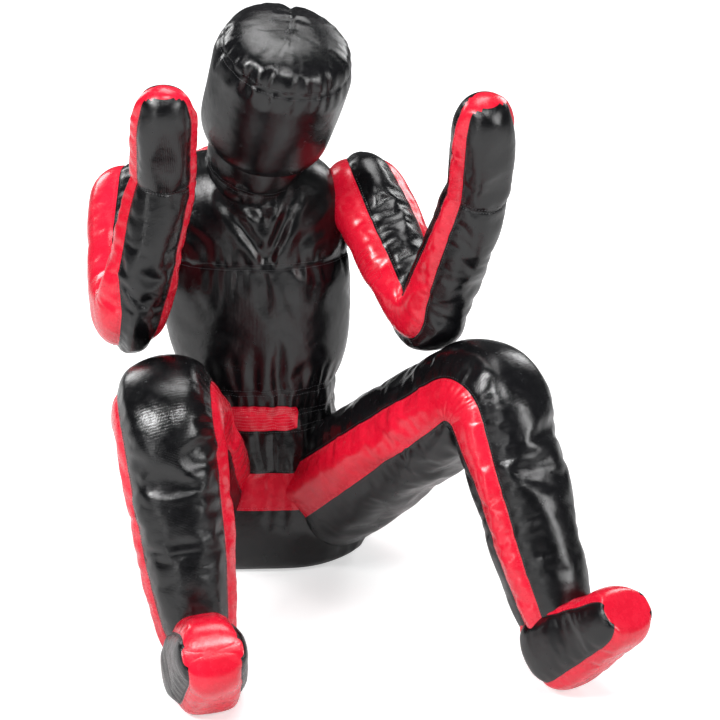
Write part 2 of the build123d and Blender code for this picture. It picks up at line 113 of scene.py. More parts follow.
def smooth(a, b, x):
    t = np.clip((np.asarray(x, float) - a) / (b - a), 0, 1)
    return t * t * (3 - 2 * t)


# --------------------------------------------------------------- skin tubes
class Skin:
    """A closed grid tube of sewn panels. Rows run along it, columns round it."""

    def __init__(self, name, verts, seam_cols, rows_s, seam_rows, closed_start=True, closed_end=True):
        self.name = name
        self.V = verts              # rows, cols, 3 in mm
        self.seam_cols = seam_cols  # columns on a long seam
        self.s = rows_s
        self.seam_rows = seam_rows
        self.closed = (closed_start, closed_end)
        self.pin = np.zeros(verts.shape[:2])
        self.shrink = np.zeros(verts.shape[:2])

    def build(self):
        R, C, _ = self.V.shape
        verts = (self.V.reshape(-1, 3) * MM).tolist()
        faces, panel, row = [], [], []
        for r in range(R - 1):
            for c in range(C):
                c2 = (c + 1) % C
                faces.append((r * C + c, r * C + c2, (r + 1) * C + c2, (r + 1) * C + c))
        ends = []
        for k, r in ((0, 0), (1, R - 1)):
            if self.closed[k]:
                verts.append((self.V[r].mean(0) * MM).tolist())
                ends.append(len(verts) - 1)
                for c in range(C):
                    a, b = r * C + c, r * C + (c + 1) % C
                    faces.append((ends[-1], b, a) if k == 0 else (ends[-1], a, b))
            else:
                ends.append(None)
        mesh = bpy.data.meshes.new(self.name)
        mesh.from_pydata(verts, [], faces)
        # metric UVs: u round the tube, v along it
        d_row = np.linalg.norm(np.roll(self.V, -1, 1) - self.V, axis=2)
        u = np.concatenate([np.zeros((R, 1)), np.cumsum(d_row, 1)], 1) * MM
        step = np.linalg.norm(np.diff(self.V, axis=0), axis=2).mean(1)
        v = np.concatenate([[0], np.cumsum(step)]) * MM
        u = np.tile(np.median(u, 0), (R, 1))
        uv = mesh.uv_layers.new(name="UVMap")
        data = np.zeros((len(mesh.loops), 2), np.float32)
        li = 0
        for r in range(R - 1):
            for c in range(C):
                data[li] = (u[r, c], v[r]); data[li + 1] = (u[r, c + 1], v[r])
                data[li + 2] = (u[r, c + 1], v[r + 1]); data[li + 3] = (u[r, c], v[r + 1])
                li += 4
        for k, r in ((0, 0), (1, R - 1)):
            if self.closed[k]:
                for c in range(C):
                    data[li] = (u[r, c], v[r]); data[li + 1] = (u[r, c + 1], v[r]); data[li + 2] = (u[r, c], v[r])
                    li += 3
        uv.data.foreach_set("uv", data.ravel())
        obj = bpy.data.objects.new(self.name, mesh)
        bpy.context.collection.objects.link(obj)
        # row / column ids ride along as face attributes, so panels can be split after the subdivision
        fr = mesh.attributes.new("row", "INT", "FACE")
        fc = mesh.attributes.new("col", "INT", "FACE")
        rr = [i // C for i in range((R - 1) * C)]
        cc = [i % C for i in range((R - 1) * C)]
        for k, r in ((0, 0), (1, R - 2)):
            if self.closed[k]:
                rr += [r] * C
                cc += list(range(C))
        fr.data.foreach_set("value", rr)
        fc.data.foreach_set("value", cc)
        n = len(verts)
        row_attr = mesh.attributes.new("along", "FLOAT", "POINT")
        along = np.concatenate([np.repeat(self.s, C), [self.s[k and -1 or 0] for k in (0, 1) if self.closed[k]]])
        row_attr.data.foreach_set("value", along.astype(np.float32))
        pin = np.concatenate([self.pin.ravel(), [1.0] * (n - R * C)])
        shr = np.concatenate([self.shrink.ravel(), [0.0] * (n - R * C)])
        g = obj.vertex_groups.new(name="pin")
        h = obj.vertex_groups.new(name="shrink")
        for i in range(n):
            if pin[i] > 0:
                g.add([i], float(pin[i]), "REPLACE")
            if shr[i] > 0:
                h.add([i], float(shr[i]), "REPLACE")
        mesh.update()
        self.obj = obj
        return obj


def column_angles(borders, counts):
    """Angles of the columns: each panel between two seams gets its own count."""
    out, seams = [], []
    k = len(borders)
    for i in range(k):
        a = borders[i]
        b = borders[(i + 1) % k] + (360 if i == k - 1 else 0)
        seams.append(len(out))
        out += [a + (b - a) * j / counts[i] for j in range(counts[i])]
    return out, seams


# ------------------------------------------------------------ limb builder
def rotate_to(d_from, d_to, v):
    axis = np.cross(d_from, d_to)
    s = np.linalg.norm(axis)
    if s < 1e-9:
        return v
    axis /= s
    ang = math.atan2(s, float(np.dot(d_from, d_to)))
    return v * math.cos(ang) + np.cross(axis, v) * math.sin(ang) + axis * np.dot(axis, v) * (1 - math.cos(ang))


def slerp(a, b, t):
    ang = math.acos(float(np.clip(np.dot(a, b), -1, 1)))
    if ang < 1e-6:
        return a
    return (math.sin((1 - t) * ang) * a + math.sin(t * ang) * b) / math.sin(ang)


def limb(name, root, d0, L0, d1, L1, sections, borders, counts, step, rho, tuck=1.6, d2=None, bend2=22.0, seam_at=()):
    a = unit(np.cross(d0, d1))
    phi = math.acos(float(np.clip(np.dot(d0, d1), -1, 1)))
    tau = rho * math.tan(phi / 2)
    J = root + d0 * L0
    w0 = np.cross(a, d0)
    F = J - d0 * tau + w0 * rho
    bis = d0 * math.cos(phi / 2) + w0 * math.sin(phi / 2)
    smin, smax = sections[0][0], sections[-1][0]
    # even rows along the profile; the fan is stepped on its outer side
    dense = np.linspace(smin, smax, 4000)
    A, B = interp(dense, sections)
    stretch = np.where((dense > L0 - tau) & (dense < L0 + tau), (rho + B) * phi / (2 * tau), 1.0)
    arc = np.concatenate([[0], np.cumsum(np.hypot(np.diff(dense) * stretch[1:], np.diff(A)))])
    n = int(arc[-1] / step) + 1
    S = np.interp(np.linspace(0, arc[-1], n), arc, dense)
    for q in seam_at:
        S[np.argmin(abs(S - q))] = q
    A, B = interp(S, sections)
    C = sum(counts)
    V = np.zeros((n, C, 3))
    N = np.zeros((n, C, 3))
    T = np.zeros((n, C))
    inner = np.zeros((n, C), bool)
    axis_pts = np.zeros((n, 3))
    # integrate the far part, which may bend again gently at the second seam
    far = np.linspace(L0 + tau, smax + 1, 600)
    cen = [J + d1 * tau]
    dirs = []
    for k, s in enumerate(far):
        if d2 is None:
            dd = d1
        else:
            dd = slerp(d1, d2, float(smooth(L0 + L1 - bend2, L0 + L1 + bend2, s)))
        dirs.append(dd)
        if k:
            cen.append(cen[-1] + dd * (s - far[k - 1]))
    cen, dirs = np.array(cen), np.array(dirs)
    for r, s in enumerate(S):
        if s <= L0 - tau:
            beta, d, centre = 0.0, d0, root + d0 * s
            aa, w = a, w0
        elif s < L0 + tau:
            beta = phi * (s - L0 + tau) / (2 * tau)
            d = d0 * math.cos(beta) + w0 * math.sin(beta)
            aa, w = a, np.cross(a, d)
            centre = F - w * rho
        else:
            beta = phi
            centre = np.array([np.interp(s, far, cen[:, k]) for k in range(3)])
            d = unit([np.interp(s, far, dirs[:, k]) for k in range(3)])
            w1 = np.cross(a, d1)
            aa, w = rotate_to(d1, d, a), rotate_to(d1, d, w1)
        angles, seams = column_angles(borders(s), counts)
        th = np.radians(angles)
        # an ellipse round the axis, as a sewn four-panel tube sits
        P = centre + np.outer(A[r] * np.cos(th), aa) + np.outer(B[r] * np.sin(th), w)
        side = (P - F) @ bis
        depth = np.clip((P - F) @ np.cross(a, bis), 0, None)
        clear = tuck * smooth(0, 12, depth)
        if beta < phi / 2:
            over = side > -clear
            P = P - np.outer(np.where(over, side + clear, 0), bis)
        else:
            over = (side < clear) & (s < L0 + 2.5 * tau)
            P = P - np.outer(np.where(over, side - clear, 0), bis)
        inner[r] = over & (depth > 3)
        V[r] = P
        N[r] = np.outer(np.cos(th) / A[r], aa) + np.outer(np.sin(th) / B[r], w)
        T[r] = angles
        axis_pts[r] = centre
    N /= np.linalg.norm(N, axis=2, keepdims=True)
    skin = Skin(name, V, seams, S, [int(np.argmin(abs(S - q))) for q in seam_at])
    skin.N, skin.inner, skin.theta, skin.axis = N, inner, T, axis_pts
    skin.fold = dict(J=J, F=F, bis=bis, a=a, L0=L0, tau=tau)
    return skin


def ball_root(R, sq=1.0):
    return [(-0.985 * R, 0.17 * R, 0.17 * R * sq), (-0.92 * R, 0.39 * R, 0.39 * R * sq), (-0.8 * R, 0.6 * R, 0.6 * R * sq),
            (-0.6 * R, 0.8 * R, 0.8 * R * sq), (-0.3 * R, 0.954 * R, 0.954 * R * sq)]


# --------------------------------------------------------------- relief
def noise1(n, wave, seed, closed=False):
    """Smooth random profile along n samples with the given wavelength in samples, about -1..1."""
    r = np.random.default_rng(seed)
    m = max(4, int(n / wave) + 3)
    k = r.uniform(-1, 1, m)
    if closed:
        k[-1] = k[0]
    return pchip(np.linspace(0, n - 1, m), k, np.arange(n))


def ring_distance(V, cols):
    """Distance round the ring, in mm, from each vertex to the nearest given column, and that column's rank."""
    R, C, _ = V.shape
    seg = np.linalg.norm(np.roll(V, -1, 1) - V, axis=2)
    cum = np.concatenate([np.zeros((R, 1)), np.cumsum(seg, 1)], 1)
    total = cum[:, -1:]
    cum = cum[:, :-1]
    best = np.full((R, C), 1e9)
    which = np.zeros((R, C), int)
    signed = np.zeros((R, C))
    for k, c0 in enumerate(cols):
        d = (cum - cum[:, c0:c0 + 1] + total / 2) % total - total / 2
        m = abs(d) < best
        best[m] = abs(d)[m]
        which[m] = k
        signed[m] = d[m]
    return best, which, signed


def row_distance(V, rows):
    R, C, _ = V.shape
    seg = np.linalg.norm(np.diff(V, axis=0), axis=2).mean(1)
    cum = np.concatenate([[0], np.cumsum(seg)])
    best = np.full(R, 1e9)
    for r in rows:
        best = np.minimum(best, abs(cum - cum[r]))
    return best


def relief(skin, valley=2.2, pillow=2.5, pucker=1.6, wave=13.0, reach=16.0, fold_amp=2.2, seed=1, quiet_ends=True):
    V, N = skin.V, skin.N
    R, C, _ = V.shape
    step = np.median(np.linalg.norm(np.diff(V, axis=0), axis=2))
    dist, which, signed = ring_distance(V, skin.seam_cols)
    D = -valley * np.exp(-(dist / 4.0) ** 2) + pillow * (1 - np.exp(-(dist / 22.0) ** 2))
    # puckers pulled up by the stitching, either side of each long seam
    for k in range(len(skin.seam_cols)):
        for side in (-1, 1):
            fine = noise1(R, wave / step * 0.5, seed * 100 + k * 10 + side + 1)
            coarse = noise1(R, 55 / step, seed * 100 + k * 10 + side + 4)
            amp = pucker * fine * (0.45 + 0.55 * np.clip(coarse + 0.5, 0, 1))
            m = (which == k) & (np.sign(signed) == side)
            fall = np.exp(-(dist / reach) ** 1.3) * smooth(0.5, 6, dist)
            D += np.where(m, amp[:, None] * fall, 0)
    seg = np.linalg.norm(np.roll(V, -1, 1) - V, axis=2)
    width = np.median(seg)
    for k, r0 in enumerate(skin.seam_rows):
        rd = np.abs(np.arange(R) - r0) * step
        D += (-valley * np.exp(-(rd / 4.0) ** 2))[:, None]
        for side in (-1, 1):
            fine = noise1(C, wave / width * 0.5, seed * 77 + k * 5 + side + 2, closed=True)
            m = (np.sign(np.arange(R) - r0) == side)[:, None]
            D += np.where(m, pucker * 1.1 * fine[None, :] * (np.exp(-(rd / reach) ** 1.3) * smooth(0.5, 6, rd))[:, None], 0)
    skin.D = D
    # broad, irregular fullness of the stuffing and slack creases
    L = np.zeros((R, C))
    for r in range(R):
        for c in range(C):
            p = V[r, c]
            L[r, c] = noise.noise(Vector((p[0] / 60, p[1] / 60, p[2] / 60 + seed * 7.3)))
    D += 1.8 * L
    skin.V = V + N * D[..., None]
    skin.dist = dist
    return skin


# ------------------------------------------------------------------- arms
ARM_COUNTS = (10, 16, 10, 16)
skins = {}
for side, arm in ARMS.items():
    med, lat = (0, 1) if side == "left" else (1, 0)

    def borders(s, med=med):
        xs = [0, 120, 245, 300, 360, 480, 560, 615, 638, 647, 650]
        m = float(np.interp(s, xs, [50, 46, 42, 32, 27, 25, 24, 23, 23, 23, 23]))
        l = float(np.interp(s, xs, [58, 52, 40, 30, 26, 24, 24, 23, 23, 23, 23]))
        # on the right arm the outer red panel is cut wide and wraps the elbow
        x = float(np.interp(s, [0, 120, 200, 245, 290, 350, 430, 650], [14, 16, 28, 36, 30, 10, 0, 0])) if side == "right" else 0.0
        h0, h1 = (m, l) if med == 0 else (l, m)
        return [-h0 - x, h0, 180 - h1, 180 + h1]

    wide = 5.0 if side == "left" else 0.0
    table = ball_root(62) + [(0, 62, 60), (90, 59, 56), (170, 56, 54), (245, 54, 54), (300, 51, 49), (380, 50, 47), (450, 48, 42 + wide),
             (487, 45.5, 37.5 + wide), (500, 45.5, 37.5 + wide), (560, 47, 38 + wide), (600, 46, 36 + wide), (624, 41, 31 + wide), (638, 32, 24 + wide),
             (646, 21, 15 + wide), (650, 11, 9), (651.5, 4, 3)]
    skin = limb(f"{side}_arm", arm["root"], arm["d0"], UPPER, arm["d1"], FORE, table, borders, ARM_COUNTS, 5.4, 30.0, d2=arm["d2"], seam_at=(487.0,))
    plainV = skin.V.copy()
    relief(skin, seed=3 if side == "left" else 5)
    calm = smooth(0, 26, 646 - np.array(skin.s))[:, None, None]
    skin.V = plainV + (skin.V - plainV) * (0.1 + 0.9 * calm)
    skin.calm = calm
    skins[side + "_arm"] = skin

# ------------------------------------------------------------------- legs
LEG_COUNTS = (12, 26, 12, 26)
for side, leg in LEGS.items():
    medial_b = side == "left"

    def borders(s, medial_b=medial_b):
        m = float(np.interp(s, [0, 150, 430, 560, 780], [28, 27, 26, 24, 22]))
        l = float(np.interp(s, [0, 150, 430, 560, 780], [30, 30, 26, 24, 24]))
        h0, h1 = (l, m) if medial_b else (m, l)
        return [-h0, h0, 180 - h1, 180 + h1]

    end = THIGH + SHIN
    table = ball_root(92) + [(0, 92, 91), (140, 88, 86), (290, 82, 78), (430, 78, 70), (530, 72, 65), (650, 66, 61), (730, 59, 57), (end - 12, 52.5, 52.5),
             (end + 4, 49, 49), (end + 16, 40, 40), (end + 23, 24, 24), (end + 24.5, 6, 6)]
    skin = limb(f"{side}_leg", leg["root"], leg["d0"], THIGH, leg["d1"], SHIN, table, borders, LEG_COUNTS, 6.2, 42.0)
    relief(skin, seed=11 if side == "left" else 13, pucker=1.8, reach=20)
    skins[side + "_leg"] = skin

# ------------------------------------------------------------------- feet
# along the foot, half width, sole, instep (measured from the ankle)
FEET = {
    "left": (0.0, 0.0, [(-46.5, 28, -44, -34), (-45.5, 38, -58, -12), (-41, 46, -73, 10), (-31, 51, -85, 24), (-12, 53, -90, 30), (20, 52, -89, 26),
                        (52, 49, -87, 12), (88, 47, -86, 2), (112, 46, -84, -2), (125, 45, -77, -8), (132, 43, -66, -18), (134, 40, -50, -34)]),
    "right": (10.0, 0.12, [(-53.5, 26, -38, -26), (-52.5, 36, -50, -8), (-46, 46, -63, 10), (-32, 52, -76, 22), (-6, 54, -92, 30), (22, 53, -98, 33),
                           (56, 50, -95, 27), (92, 47, -91, 17), (122, 45, -87, 7), (138, 44, -79, -4), (147, 42, -66, -18), (149, 39, -50, -34)]),
}
for side, leg in LEGS.items():
    pitch, yaw, rows_ = FEET[side]
    d1, d2 = leg["d1"], leg["d2"]
    ankle = leg["root"] + leg["d0"] * THIGH + d1 * SHIN
    up = unit(-d1 - d2 * np.dot(-d1, d2))
    d2 = unit(d2 * math.cos(math.radians(pitch)) + up * math.sin(math.radians(pitch)) + vec(yaw, 0, 0))
    hinge = unit(np.cross(d1, d2))
    up = unit(np.cross(hinge, d2))
    up = up if np.dot(up, -d1) > 0 else -up
    rows_ = np.array(rows_, float)
    t = np.concatenate([[0], np.cumsum(np.hypot(np.diff(rows_[:, 0]), np.abs(np.diff(rows_[:, 1:], axis=0)).max(1)))])
    n = int(t[-1] / 4.9) + 1
    q = np.linspace(0, t[-1], n)
    xs, half, sole, instep = [pchip(t, rows_[:, k], q) for k in range(4)]
    C = 64
    V = np.zeros((n, C, 3))
    angles = np.radians(np.arange(C) * 360 / C)
    e = 2 / 3.3
    for r in range(n):
        cz, hz = (instep[r] + sole[r]) / 2, (instep[r] - sole[r]) / 2
        cx = np.sign(np.cos(angles)) * abs(np.cos(angles)) ** e * half[r]
        cy = np.sign(np.sin(angles)) * abs(np.sin(angles)) ** e * hz + cz
        V[r] = ankle + d2 * xs[r] + np.outer(cx, hinge) + np.outer(cy, up)
    N = np.cross(np.gradient(V, axis=0), np.roll(V, -1, 1) - np.roll(V, 1, 1))
    N /= np.linalg.norm(N, axis=2, keepdims=True) + 1e-9
    mid_row = n // 2
    if np.sum(N[mid_row] * (V[mid_row] - V[mid_row].mean(0))) < 0:
        N = -N
    # seams at the four corners: band over instep, toe and sole, black panels at the sides
    seams = [7, 25, 39, 57]
    skin = Skin(f"{side}_foot", V, seams, xs, [])
    skin.N, skin.inner, skin.theta = N, np.zeros((n, C), bool), np.tile(np.arange(C) * 360 / C, (n, 1))
    plainV = skin.V.copy()
    relief(skin, valley=1.8, pillow=2.4, pucker=1.3, wave=10, reach=12, seed=21 if side == "left" else 23)
    # the blunt toe and heel ends stay smooth
    calm = smooth(44, 78, instep - sole)[:, None, None]
    skin.V = plainV + (skin.V - plainV) * (0.15 + 0.85 * calm)
    skin.calm = calm
    skin.V[..., 2] = np.maximum(skin.V[..., 2], 0.2)
    skins[side + "_foot"] = skin

# ------------------------------------------------------------------- torso
def loop_tube(name, rows, C, seam_at_deg, exponent=2.5, seam_z=()):
    """rows: (height, centre x, centre y, half width, half depth) resampled rings, level with the floor."""
    dense = np.linspace(0, 1, 3000)
    t = np.linspace(0, 1, len(rows))
    rows = np.array(rows, float)
    # profile arc length
    def at(q):
        return np.stack([pchip(t, rows[:, k], q) for k in range(5)], -1)
    D = at(dense)
    arc = np.concatenate([[0], np.cumsum(np.hypot(np.diff(D[:, 0]), np.diff(D[:, 3])))])
    n = int(arc[-1] / 6.2) + 1
    q = np.interp(np.linspace(0, arc[-1], n), arc, dense)
    P = at(q)
    fine = np.radians(np.linspace(0, 360, 2881)[:-1])
    V = np.zeros((n, C, 3)); N = np.zeros((n, C, 3)); TH = np.zeros((n, C))
    # columns: seam columns fixed in angle, the rest spread evenly by arc between them
    for r in range(n):
        z, cx, cy, A, B = P[r]
        e = 2 / exponent
        px = np.sign(np.cos(fine)) * abs(np.cos(fine)) ** e * A
        py = np.sign(np.sin(fine)) * abs(np.sin(fine)) ** e * B
        seg = np.hypot(np.diff(np.append(px, px[0])), np.diff(np.append(py, py[0])))
        cum = np.concatenate([[0], np.cumsum(seg)])
        cols = []
        k = len(seam_at_deg)
        for i, (ang, cnt) in enumerate(seam_at_deg):
            i0 = int(round(ang / 360 * 2880)) % 2880
            nxt = seam_at_deg[(i + 1) % k][0] + (360 if i == k - 1 else 0)
            i1 = int(round(nxt / 360 * 2880))
            c0 = cum[i0]
            c1 = cum[i1 % 2880] + (cum[-1] if i1 >= 2880 else 0)
            cols += [(c0 + (c1 - c0) * j / cnt) % cum[-1] for j in range(cnt)]
        idx = np.interp(cols, cum, np.arange(2881))
        thv = np.radians(idx / 2880 * 360)
        x = np.sign(np.cos(thv)) * abs(np.cos(thv)) ** e * A
        y = np.sign(np.sin(thv)) * abs(np.sin(thv)) ** e * B
        V[r] = np.stack([cx + x, cy + y, np.full(C, z)], -1)
        nx, ny = np.sign(x) * (abs(x) / A) ** (exponent - 1) / A, np.sign(y) * (abs(y) / B) ** (exponent - 1) / B
        N[r] = np.stack([nx, ny, np.zeros(C)], -1)
        TH[r] = idx / 8
    # tilt the normals by the profile's slope
    dz = np.gradient(P[:, 0]); dA = np.gradient(P[:, 3])
    N /= np.linalg.norm(N, axis=2, keepdims=True) + 1e-12
    slope = np.stack([dz, -dA], -1); slope /= np.linalg.norm(slope, axis=1, keepdims=True)
    N = N * slope[:, None, :1] + np.array([0, 0, 1.0]) * slope[:, None, 1:]
    for z in seam_z:
        r = int(np.argmin(abs(P[:, 0] - z)))
        V[r, :, 2] = z
    seams, c = [], 0
    for ang, cnt in seam_at_deg:
        seams.append(c); c += cnt
    skin = Skin(name, V, seams, P[:, 0].copy(), [int(np.argmin(abs(P[:, 0] - z))) for z in seam_z])
    skin.N, skin.theta, skin.inner = N, TH, np.zeros((n, C), bool)
    return skin


torso_rows = [
    (0.0, -12, 6, 30, 20), (0.0, -12, 6, 76, 48), (0.2, -14, 6, 128, 76), (5, -16, 7, 153, 94), (22, -18, 8, 177, 110), (55, -19, 10, 190, 117), (95, -16, 10, 184, 115),
    (140, -6, 8, 156, 104), (185, 0, 6, 124, 90), (222, 0, 5, 113, 82), (262, 0, 5, 113, 80), (300, -1, 5, 119, 83), (360, -3, 5, 132, 88),
    (430, -6, 5, 138, 91), (500, -8, 6, 138, 91), (560, -11, 8, 136, 88), (595, -12, 9, 131, 82), (620, -13, 10, 119, 72), (638, -13, 10, 98, 58),
    (648, -13, 10, 70, 42), (652, -13, 10, 34, 22),
]
SIDE = 22.0
torso = loop_tube("torso", torso_rows, 124, [(SIDE, 22), (86.5, 3), (93.5, 22), (180 - SIDE, 77)], seam_z=(168.0, 236.0, 262.0, 297.0, 500.0))
relief(torso, valley=2.2, pillow=2.2, pucker=2.1, reach=22, seed=31)


def crease(skin, path, depth, width, front=True, ridge=0.55):
    """A sunk fold along a path given in (x, z) on the front or the back."""
    P = skin.V[..., [0, 2]]
    best = np.full(P.shape[:2], 1e9); along_ = np.zeros(P.shape[:2])
    path = np.array(path, float)
    seg = np.linalg.norm(np.diff(path, axis=0), axis=1); tot = seg.sum(); run = 0.0
    for a_, b_, L_ in zip(path[:-1], path[1:], seg):
        d_ = (b_ - a_) / L_
        k = np.clip((P - a_) @ d_, 0, L_)
        dist = np.linalg.norm(P - a_ - k[..., None] * d_, axis=2)
        m = dist < best
        best = np.where(m, dist, best); along_ = np.where(m, (run + k) / tot, along_)
        run += L_
    fade = np.sin(np.pi * np.clip(along_ * 0.9 + 0.05, 0, 1)) ** 0.5
    D = -depth * np.exp(-(best / width) ** 2) + ridge * depth * np.exp(-((best - 2.1 * width) / (1.1 * width)) ** 2)
    ok = (skin.V[..., 1] < -20) if front else (skin.V[..., 1] > 30)
    skin.V = skin.V + skin.N * (D * fade * ok)[..., None]


YOKE = [
    ([(-45, 590), (-20, 560), (14, 512)], 6.0, 8.0), ([(52, 590), (36, 555), (16, 512)], 6.0, 8.0), ([(5, 600), (8, 560), (14, 520)], 3.0, 7.0),
    ([(112, 560), (80, 548), (58, 530)], 5.0, 8.0), ([(-118, 560), (-88, 545), (-66, 530)], 5.0, 8.0), ([(100, 590), (74, 570), (60, 556)], 3.5, 7.0),
    ([(104, 485), (82, 460), (66, 425)], 4.5, 9.0), ([(-112, 480), (-90, 455), (-76, 420)], 4.5, 9.0), ([(100, 420), (70, 405), (30, 404)], 2.5, 9.0),
    ([(-104, 408), (-70, 396), (-28, 392)], 2.5, 9.0), ([(96, 345), (64, 332), (40, 312)], 4.0, 8.0), ([(-96, 345), (-66, 330), (-46, 310)], 4.0, 8.0),
    ([(20, 480), (12, 450), (16, 415)], 2.0, 9.0), ([(-40, 352), (-36, 330), (-38, 306)], 2.6, 7.0), ([(30, 350), (26, 326), (28, 306)], 2.6, 7.0),
    ([(90, 250), (80, 232), (62, 214)], 4.0, 7.0), ([(-88, 250), (-78, 232), (-60, 214)], 4.0, 7.0),
]
for k_, (path, depth, width) in enumerate(YOKE):
    crease(torso, path, depth if k_ < 2 else depth * 0.55, width if k_ < 2 else width * 1.15)
crease(torso, [(-50, 598), (-20, 590), (20, 590), (56, 598)], 4.5, 8.0)
for path, depth, width in (([(-110, 540), (-80, 520), (-50, 515)], 4.0, 9.0), ([(92, 530), (66, 512), (40, 508)], 4.0, 9.0), ([(-100, 360), (-70, 345), (-45, 330)], 4.0, 9.0),
                           ([(95, 370), (68, 352), (40, 336)], 4.0, 9.0)):
    crease(torso, path, depth, width, front=False)
torso.V[..., 2] = np.maximum(torso.V[..., 2], 0.0)
skins["torso"] = torso

# -------------------------------------------------------------- neck, head
def lathe(name, origin, axis, rows, C, step=5.2, seam_s=(), oval=1.0, seams=(0,)):
    across = unit(vec(1, 0, 0) - axis * axis[0])
    w = np.cross(axis, across)
    rows = np.array(rows, float)
    t = np.linspace(0, 1, len(rows)); dense = np.linspace(0, 1, 3000)
    s = pchip(t, rows[:, 0], dense); rr = pchip(t, rows[:, 1], dense)
    arc = np.concatenate([[0], np.cumsum(np.hypot(np.diff(s), np.diff(rr)))])
    n = int(arc[-1] / step) + 1
    q = np.interp(np.linspace(0, arc[-1], n), arc, dense)
    s, rr = pchip(t, rows[:, 0], q), pchip(t, rows[:, 1], q)
    for z in seam_s:
        k = int(np.argmin(abs(s - z))); s[k] = z
    th = np.radians(np.arange(C) * 360 / C)
    V = np.zeros((n, C, 3)); N = np.zeros((n, C, 3))
    ds, dr = np.gradient(s), np.gradient(rr)
    for r in range(n):
        V[r] = origin + axis * s[r] + np.outer(rr[r] * np.cos(th), across) + np.outer(rr[r] * oval * np.sin(th), w)
        radial = np.outer(np.cos(th), across) + np.outer(np.sin(th), w)
        nn = radial * ds[r] - axis * dr[r]
        N[r] = nn / np.linalg.norm(nn, axis=1, keepdims=True)
    skin = Skin(name, V, list(seams), s, [int(np.argmin(abs(s - z))) for z in seam_s])
    skin.N, skin.theta, skin.inner = N, np.tile(np.degrees(th), (n, 1)), np.zeros((n, C), bool)
    return skin


neck = lathe("neck", NECK, HEAD_AXIS, [(-30, 20), (-28, 50), (-18, 66), (0, 71), (12, 72), (30, 73), (50, 72), (62, 66), (66, 40), (67, 12)], 80, seam_s=(14.0,), seams=(20,))
relief(neck, valley=1.2, pillow=0, pucker=1.8, reach=14, seed=41)
skins["neck"] = neck
head = lathe("head", NECK, HEAD_AXIS, [(52, 15), (52.5, 50), (56, 72), (64, 83), (84, 92), (120, 96), (165, 98), (205, 97.5), (222, 96), (226, 94.5), (231, 93), (242, 86), (252, 72), (259, 50), (262, 24), (262.4, 5)],
             120, seam_s=(226.0,), seams=(30,))
relief(head, valley=2.4, pillow=1.5, pucker=2.4, wave=15, reach=26, seed=51)
skins["head"] = head

# ------------------------------------------------- fix the back for the zip
def back_plane(z):
    return 90 + (z - 300) * 4 / 345


T = torso.V
cx = np.interp(T[..., 2], [300, 360, 430, 500, 560, 595, 645], [-1, -2.4, -5.3, -8.1, -10.6, -12, -14])
dx = T[..., 0] - cx
onback = (T[..., 1] > 30) & (T[..., 2] > 290) & (T[..., 2] < 640)
zin = smooth(300, 325, T[..., 2]) * (1 - smooth(606, 625, T[..., 2]))
flat = onback * zin * (1 - smooth(14, 52, abs(dx)))
T[..., 1] = T[..., 1] * (1 - flat) + (back_plane(T[..., 2]) + 1.4) * flat
groove = onback * zin * (abs(dx) < 8.5)
T[..., 1] = np.where(groove > 0.3, back_plane(T[..., 2]) - 5.5, T[..., 1])

# ------------------------------------------------------------ cloth settling
HIDDEN = {}


def cloth(obj, skin, pressure, seam_shrink=0.055, slack=0.0, bend=0.8):
    m = obj.modifiers.new("cloth", "CLOTH")
    s = m.settings
    s.quality = 5
    s.mass = 0.25
    s.air_damping = 3.0
    s.tension_stiffness = 25
    s.compression_stiffness = 25
    s.shear_stiffness = 12
    s.bending_stiffness = bend
    s.tension_damping = s.compression_damping = 8
    s.shear_damping = 8
    s.bending_damping = 1.0
    s.vertex_group_mass = "pin"
    s.pin_stiffness = 1.0
    s.use_pressure = True
    s.uniform_pressure_force = pressure
    s.vertex_group_shrink = "shrink"
    s.shrink_min = slack
    s.shrink_max = seam_shrink
    s.effector_weights.gravity = 0.0
    m.collision_settings.use_collision = False
    m.collision_settings.use_self_collision = False
    m.point_cache.frame_start = 1
    m.point_cache.frame_end = 60


def grid_world(obj, skin):
    n = skin.V.shape[0] * skin.V.shape[1]
    co = np.empty(len(obj.data.vertices) * 3, np.float32)
    obj.data.vertices.foreach_get("co", co)
    return co.reshape(-1, 3)[:n].reshape(skin.V.shape).astype(float) / MM


for key, skin in skins.items():
    R, C, _ = skin.V.shape
    skin.pin[:] = 0.04
    skin.pin[skin.inner] = 1.0
    d = skin.dist
    skin.shrink[:] = np.exp(-(d / 5.0) ** 2)
    for r0 in skin.seam_rows:
        step_mm = np.median(np.linalg.norm(np.diff(skin.V, axis=0), axis=2))
        rd = np.abs(np.arange(R) - r0) * step_mm
        skin.shrink = np.maximum(skin.shrink, np.exp(-(rd / 5.0) ** 2)[:, None])
    if key == "torso":
        z = skin.V[..., 2]
        skin.pin[z < 16] = 1.0
        skin.pin[groove > 0.2] = 1.0
        skin.pin[flat > 0.6] = 1.0
    if key == "neck":
        skin.pin[:] = 0.3
    skin.build()

USE_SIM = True
# (grid cells over which wrinkles are told from drift, strength)
WRINKLE = {k: (5.0, 0.6 if k.endswith("arm") else (0.42 if k.endswith("foot") else 0.55)) for k in skins}
WRINKLE["head"] = (5.0, 0.8)
WRINKLE["neck"] = (4.0, 0.8)
WRINKLE["torso"] = (6.0, 1.0)
FRAMES = 16


def low_pass(D, sigma):
    """Gaussian over the grid: closed round the tube, open along it."""
    k = np.arange(-int(3 * sigma), int(3 * sigma) + 1)
    w = np.exp(-0.5 * (k / sigma) ** 2); w /= w.sum()
    pad = np.pad(D, ((len(k) // 2,) * 2, (0, 0), (0, 0)), mode="reflect")
    a = sum(w[i] * pad[i:i + D.shape[0]] for i in range(len(k)))
    return sum(w[i] * np.roll(a, -k[i], 1) for i in range(len(k)))


